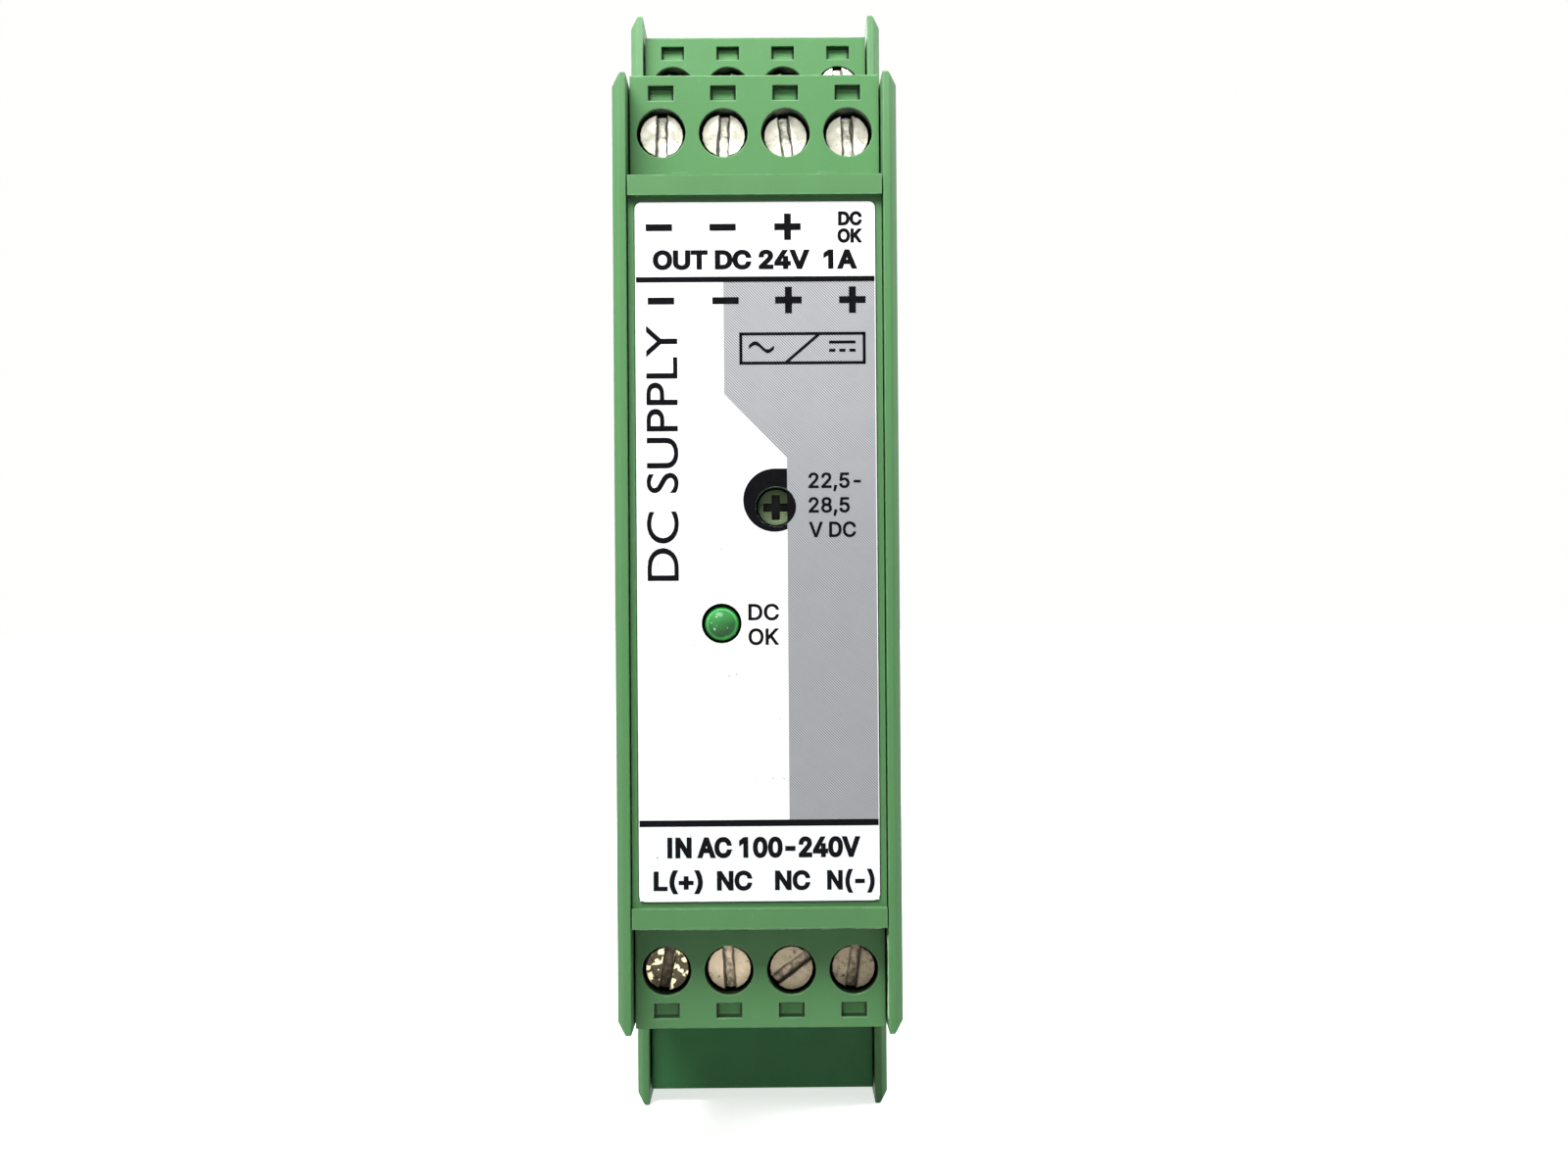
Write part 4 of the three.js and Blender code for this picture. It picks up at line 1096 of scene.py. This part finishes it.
piece("mains_choke_winding", joined(choke_winding(), True), copper)
piece("output_choke_winding", joined(rod_winding(), True), copper)


# ------------------------------------------------------------------ moulding flash

flash_paint = moulded("flash", (0.34, 0.50, 0.33), 0.4, cloud=0.25, grime_and_painted_shade=0.0)


RAGGED_STEP = 0.18 * MM
RAGGED_HALF = 0.03 * MM


def ragged(points, across, width, seed, share=0.6):
    """A thin ragged ribbon along a line, standing out of it by an uneven width."""
    chance = random.Random(seed)
    out = bmesh.new()
    start, end = Vector(points[0]), Vector(points[1])
    across = Vector(across)
    steps = max(8, int((end - start).length / RAGGED_STEP))
    depth = (end - start).normalized().cross(across).normalized() * RAGGED_HALF
    rows = []
    level = 0.5
    for step in range(steps + 1):
        level = min(1.0, max(0.0, level + chance.uniform(-0.35, 0.35)))
        tall = width * MM * (1 - share + share * level)
        if step in (0, steps):
            tall *= 0.2
        base = start.lerp(end, step / steps)
        rows.append([out.verts.new(point) for point in (base - depth, base + across * tall, base + depth)])
    for a, b in zip(rows, rows[1:]):
        for k in range(3):
            out.faces.new((a[k], a[(k + 1) % 3], b[(k + 1) % 3], b[k]))
    out.faces.new(rows[0])
    out.faces.new(list(reversed(rows[-1])))
    bmesh.ops.recalc_face_normals(out, faces=out.faces)
    return out


cover_low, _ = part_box("front_cover")
_, plug_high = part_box("bottom_front_plug")
bar_y, bar_z = cover_low.y + 0.15 * MM, cover_low.z + 0.02 * MM
side_x, side_y = plug_high.x + 0.16 * MM, cover_low.y + 0.6 * MM
flash = [
    ragged([(-9.6 * MM, bar_y, bar_z), (9.7 * MM, bar_y, bar_z)], (0, 0, -1), 0.13, 3),
    ragged([(side_x, side_y, -37.0 * MM), (side_x, side_y, -30.2 * MM)], (-1, 0, 0), 0.12, 5),
]
piece("moulding_flash", joined(flash), flash_paint)


# ------------------------------------------------------------------ burrs on the screw slots

BURR_LENGTH = 3.0 * MM
outwards = Vector((0, -1, 0))
sunk_a_little = Vector((0, 0.01 * MM, 0))
burr_metal = metal("burr_metal", (0.10, 0.095, 0.08), 0.45)
for row in ROWS:
    for pole in POLES:
        low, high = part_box(f"{row}_screw_{pole}")
        centre = (low + high) / 2
        turn = math.radians(SLOT_TURNS[row][pole - 1])
        along = Vector((math.sin(turn), 0, math.cos(turn)))
        beside = Vector((math.cos(turn), 0, -math.sin(turn)))
        face = Vector((centre.x, low.y, centre.z))
        edges = []
        for side in (-1, 1):
            start = face + beside * side * (SLOT_HALF + 0.03 * MM) - along * BURR_LENGTH / 2 + sunk_a_little
            edges.append(ragged([start, start + along * BURR_LENGTH], beside * side * 0.6 + outwards * 0.8,
                                0.11, pole * 10 + side, 0.85))
        piece(f"{row}_screw_{pole}_burrs", joined(edges), burr_metal, f"{row}_screw_{pole}")


# ------------------------------------------------------------------ floor, light and camera


def floor():
    mesh = bpy.data.meshes.new("floor")
    size = 3.0
    z = cad_bounds[0][2]
    corners = [(-size, -size, z), (size, -size, z), (size, size, z), (-size, size, z)]
    mesh.from_pydata(corners, [], [(0, 1, 2, 3)])
    obj = bpy.data.objects.new("floor", mesh)
    scene.collection.objects.link(obj)
    m = Shader("floor", roughness=0.9, Specular_IOR_Level=0.1, Emission_Color=(1.0, 1.0, 0.99, 1.0),
               Emission_Strength=0.7)
    m.colour(m.mix(m.between(m.noise(6), 0.3, 0.7), (0.93, 0.93, 0.925), (0.95, 0.95, 0.945)))
    mesh.materials.append(m.material)
    obj.visible_diffuse = False


def aim(obj, place, target):
    obj.location = place
    obj.rotation_euler = (Vector(target) - Vector(place)).to_track_quat("-Z", "Y").to_euler()


def lamp(name, kind, place, target, energy, **settings):
    data = bpy.data.lights.new(name, kind)
    data.energy = energy
    for key, value in settings.items():
        setattr(data, key, value)
    obj = bpy.data.objects.new(name, data)
    scene.collection.objects.link(obj)
    obj.visible_camera = False
    aim(obj, place, target)


def surroundings(seen, lighting):
    """A plain world: white where it is seen or mirrored, dimmer where it lights the object."""
    world = bpy.data.worlds.new("studio")
    scene.world = world
    world.use_nodes = True
    tree = world.node_tree
    background = tree.nodes["Background"]
    path = tree.nodes.new("ShaderNodeLightPath")
    blend = tree.nodes.new("ShaderNodeMapRange")
    blend.inputs["To Min"].default_value = lighting
    blend.inputs["To Max"].default_value = seen
    shown = tree.nodes.new("ShaderNodeMath")
    shown.operation = "MAXIMUM"
    tree.links.new(path.outputs["Is Camera Ray"], shown.inputs[0])
    tree.links.new(path.outputs["Is Glossy Ray"], shown.inputs[1])
    tree.links.new(shown.outputs[0], blend.inputs["Value"])
    tree.links.new(blend.outputs["Result"], background.inputs["Strength"])
    background.inputs["Color"].default_value = (1.0, 0.998, 0.99, 1.0)


floor()
surroundings(1.0, 0.24)
lamp("key", "SUN", (-0.3, -0.55, 1.0), (0, 0, 0), 1.6, angle=math.radians(24))
for name, place, target, energy, wide, high in (
    ("top_panel", (-0.05, -0.20, 0.17), (0, -0.1, 0.03), 0.90, 0.16, 0.10),
    ("left_panel", (-0.45, -0.35, 0.05), (0, -0.05, 0), 0.5, 0.3, 0.5),
    ("right_panel", (0.45, 0.05, 0.2), (0, -0.05, 0), 2.2, 0.3, 0.5),
    ("back_panel", (-0.15, 0.45, 0.15), (0, 0, 0), 1.6, 0.4, 0.4),
):
    lamp(name, "AREA", place, target, energy, shape="RECTANGLE", size=wide, size_y=high)

# The camera of the photograph, found from the edges of the side walls and the label.
camera = bpy.data.objects.new("camera", bpy.data.cameras.new("camera"))
scene.collection.objects.link(camera)
camera.location = (0.000969, -0.257620, -0.004053)
camera.rotation_euler = (math.radians(90.46371), math.radians(0.41535), math.radians(-0.42432))
camera.data.sensor_width = 36
camera.data.lens = 43.90
camera.data.clip_start = 0.005
scene.camera = camera
scene.view_settings.view_transform = "Standard"
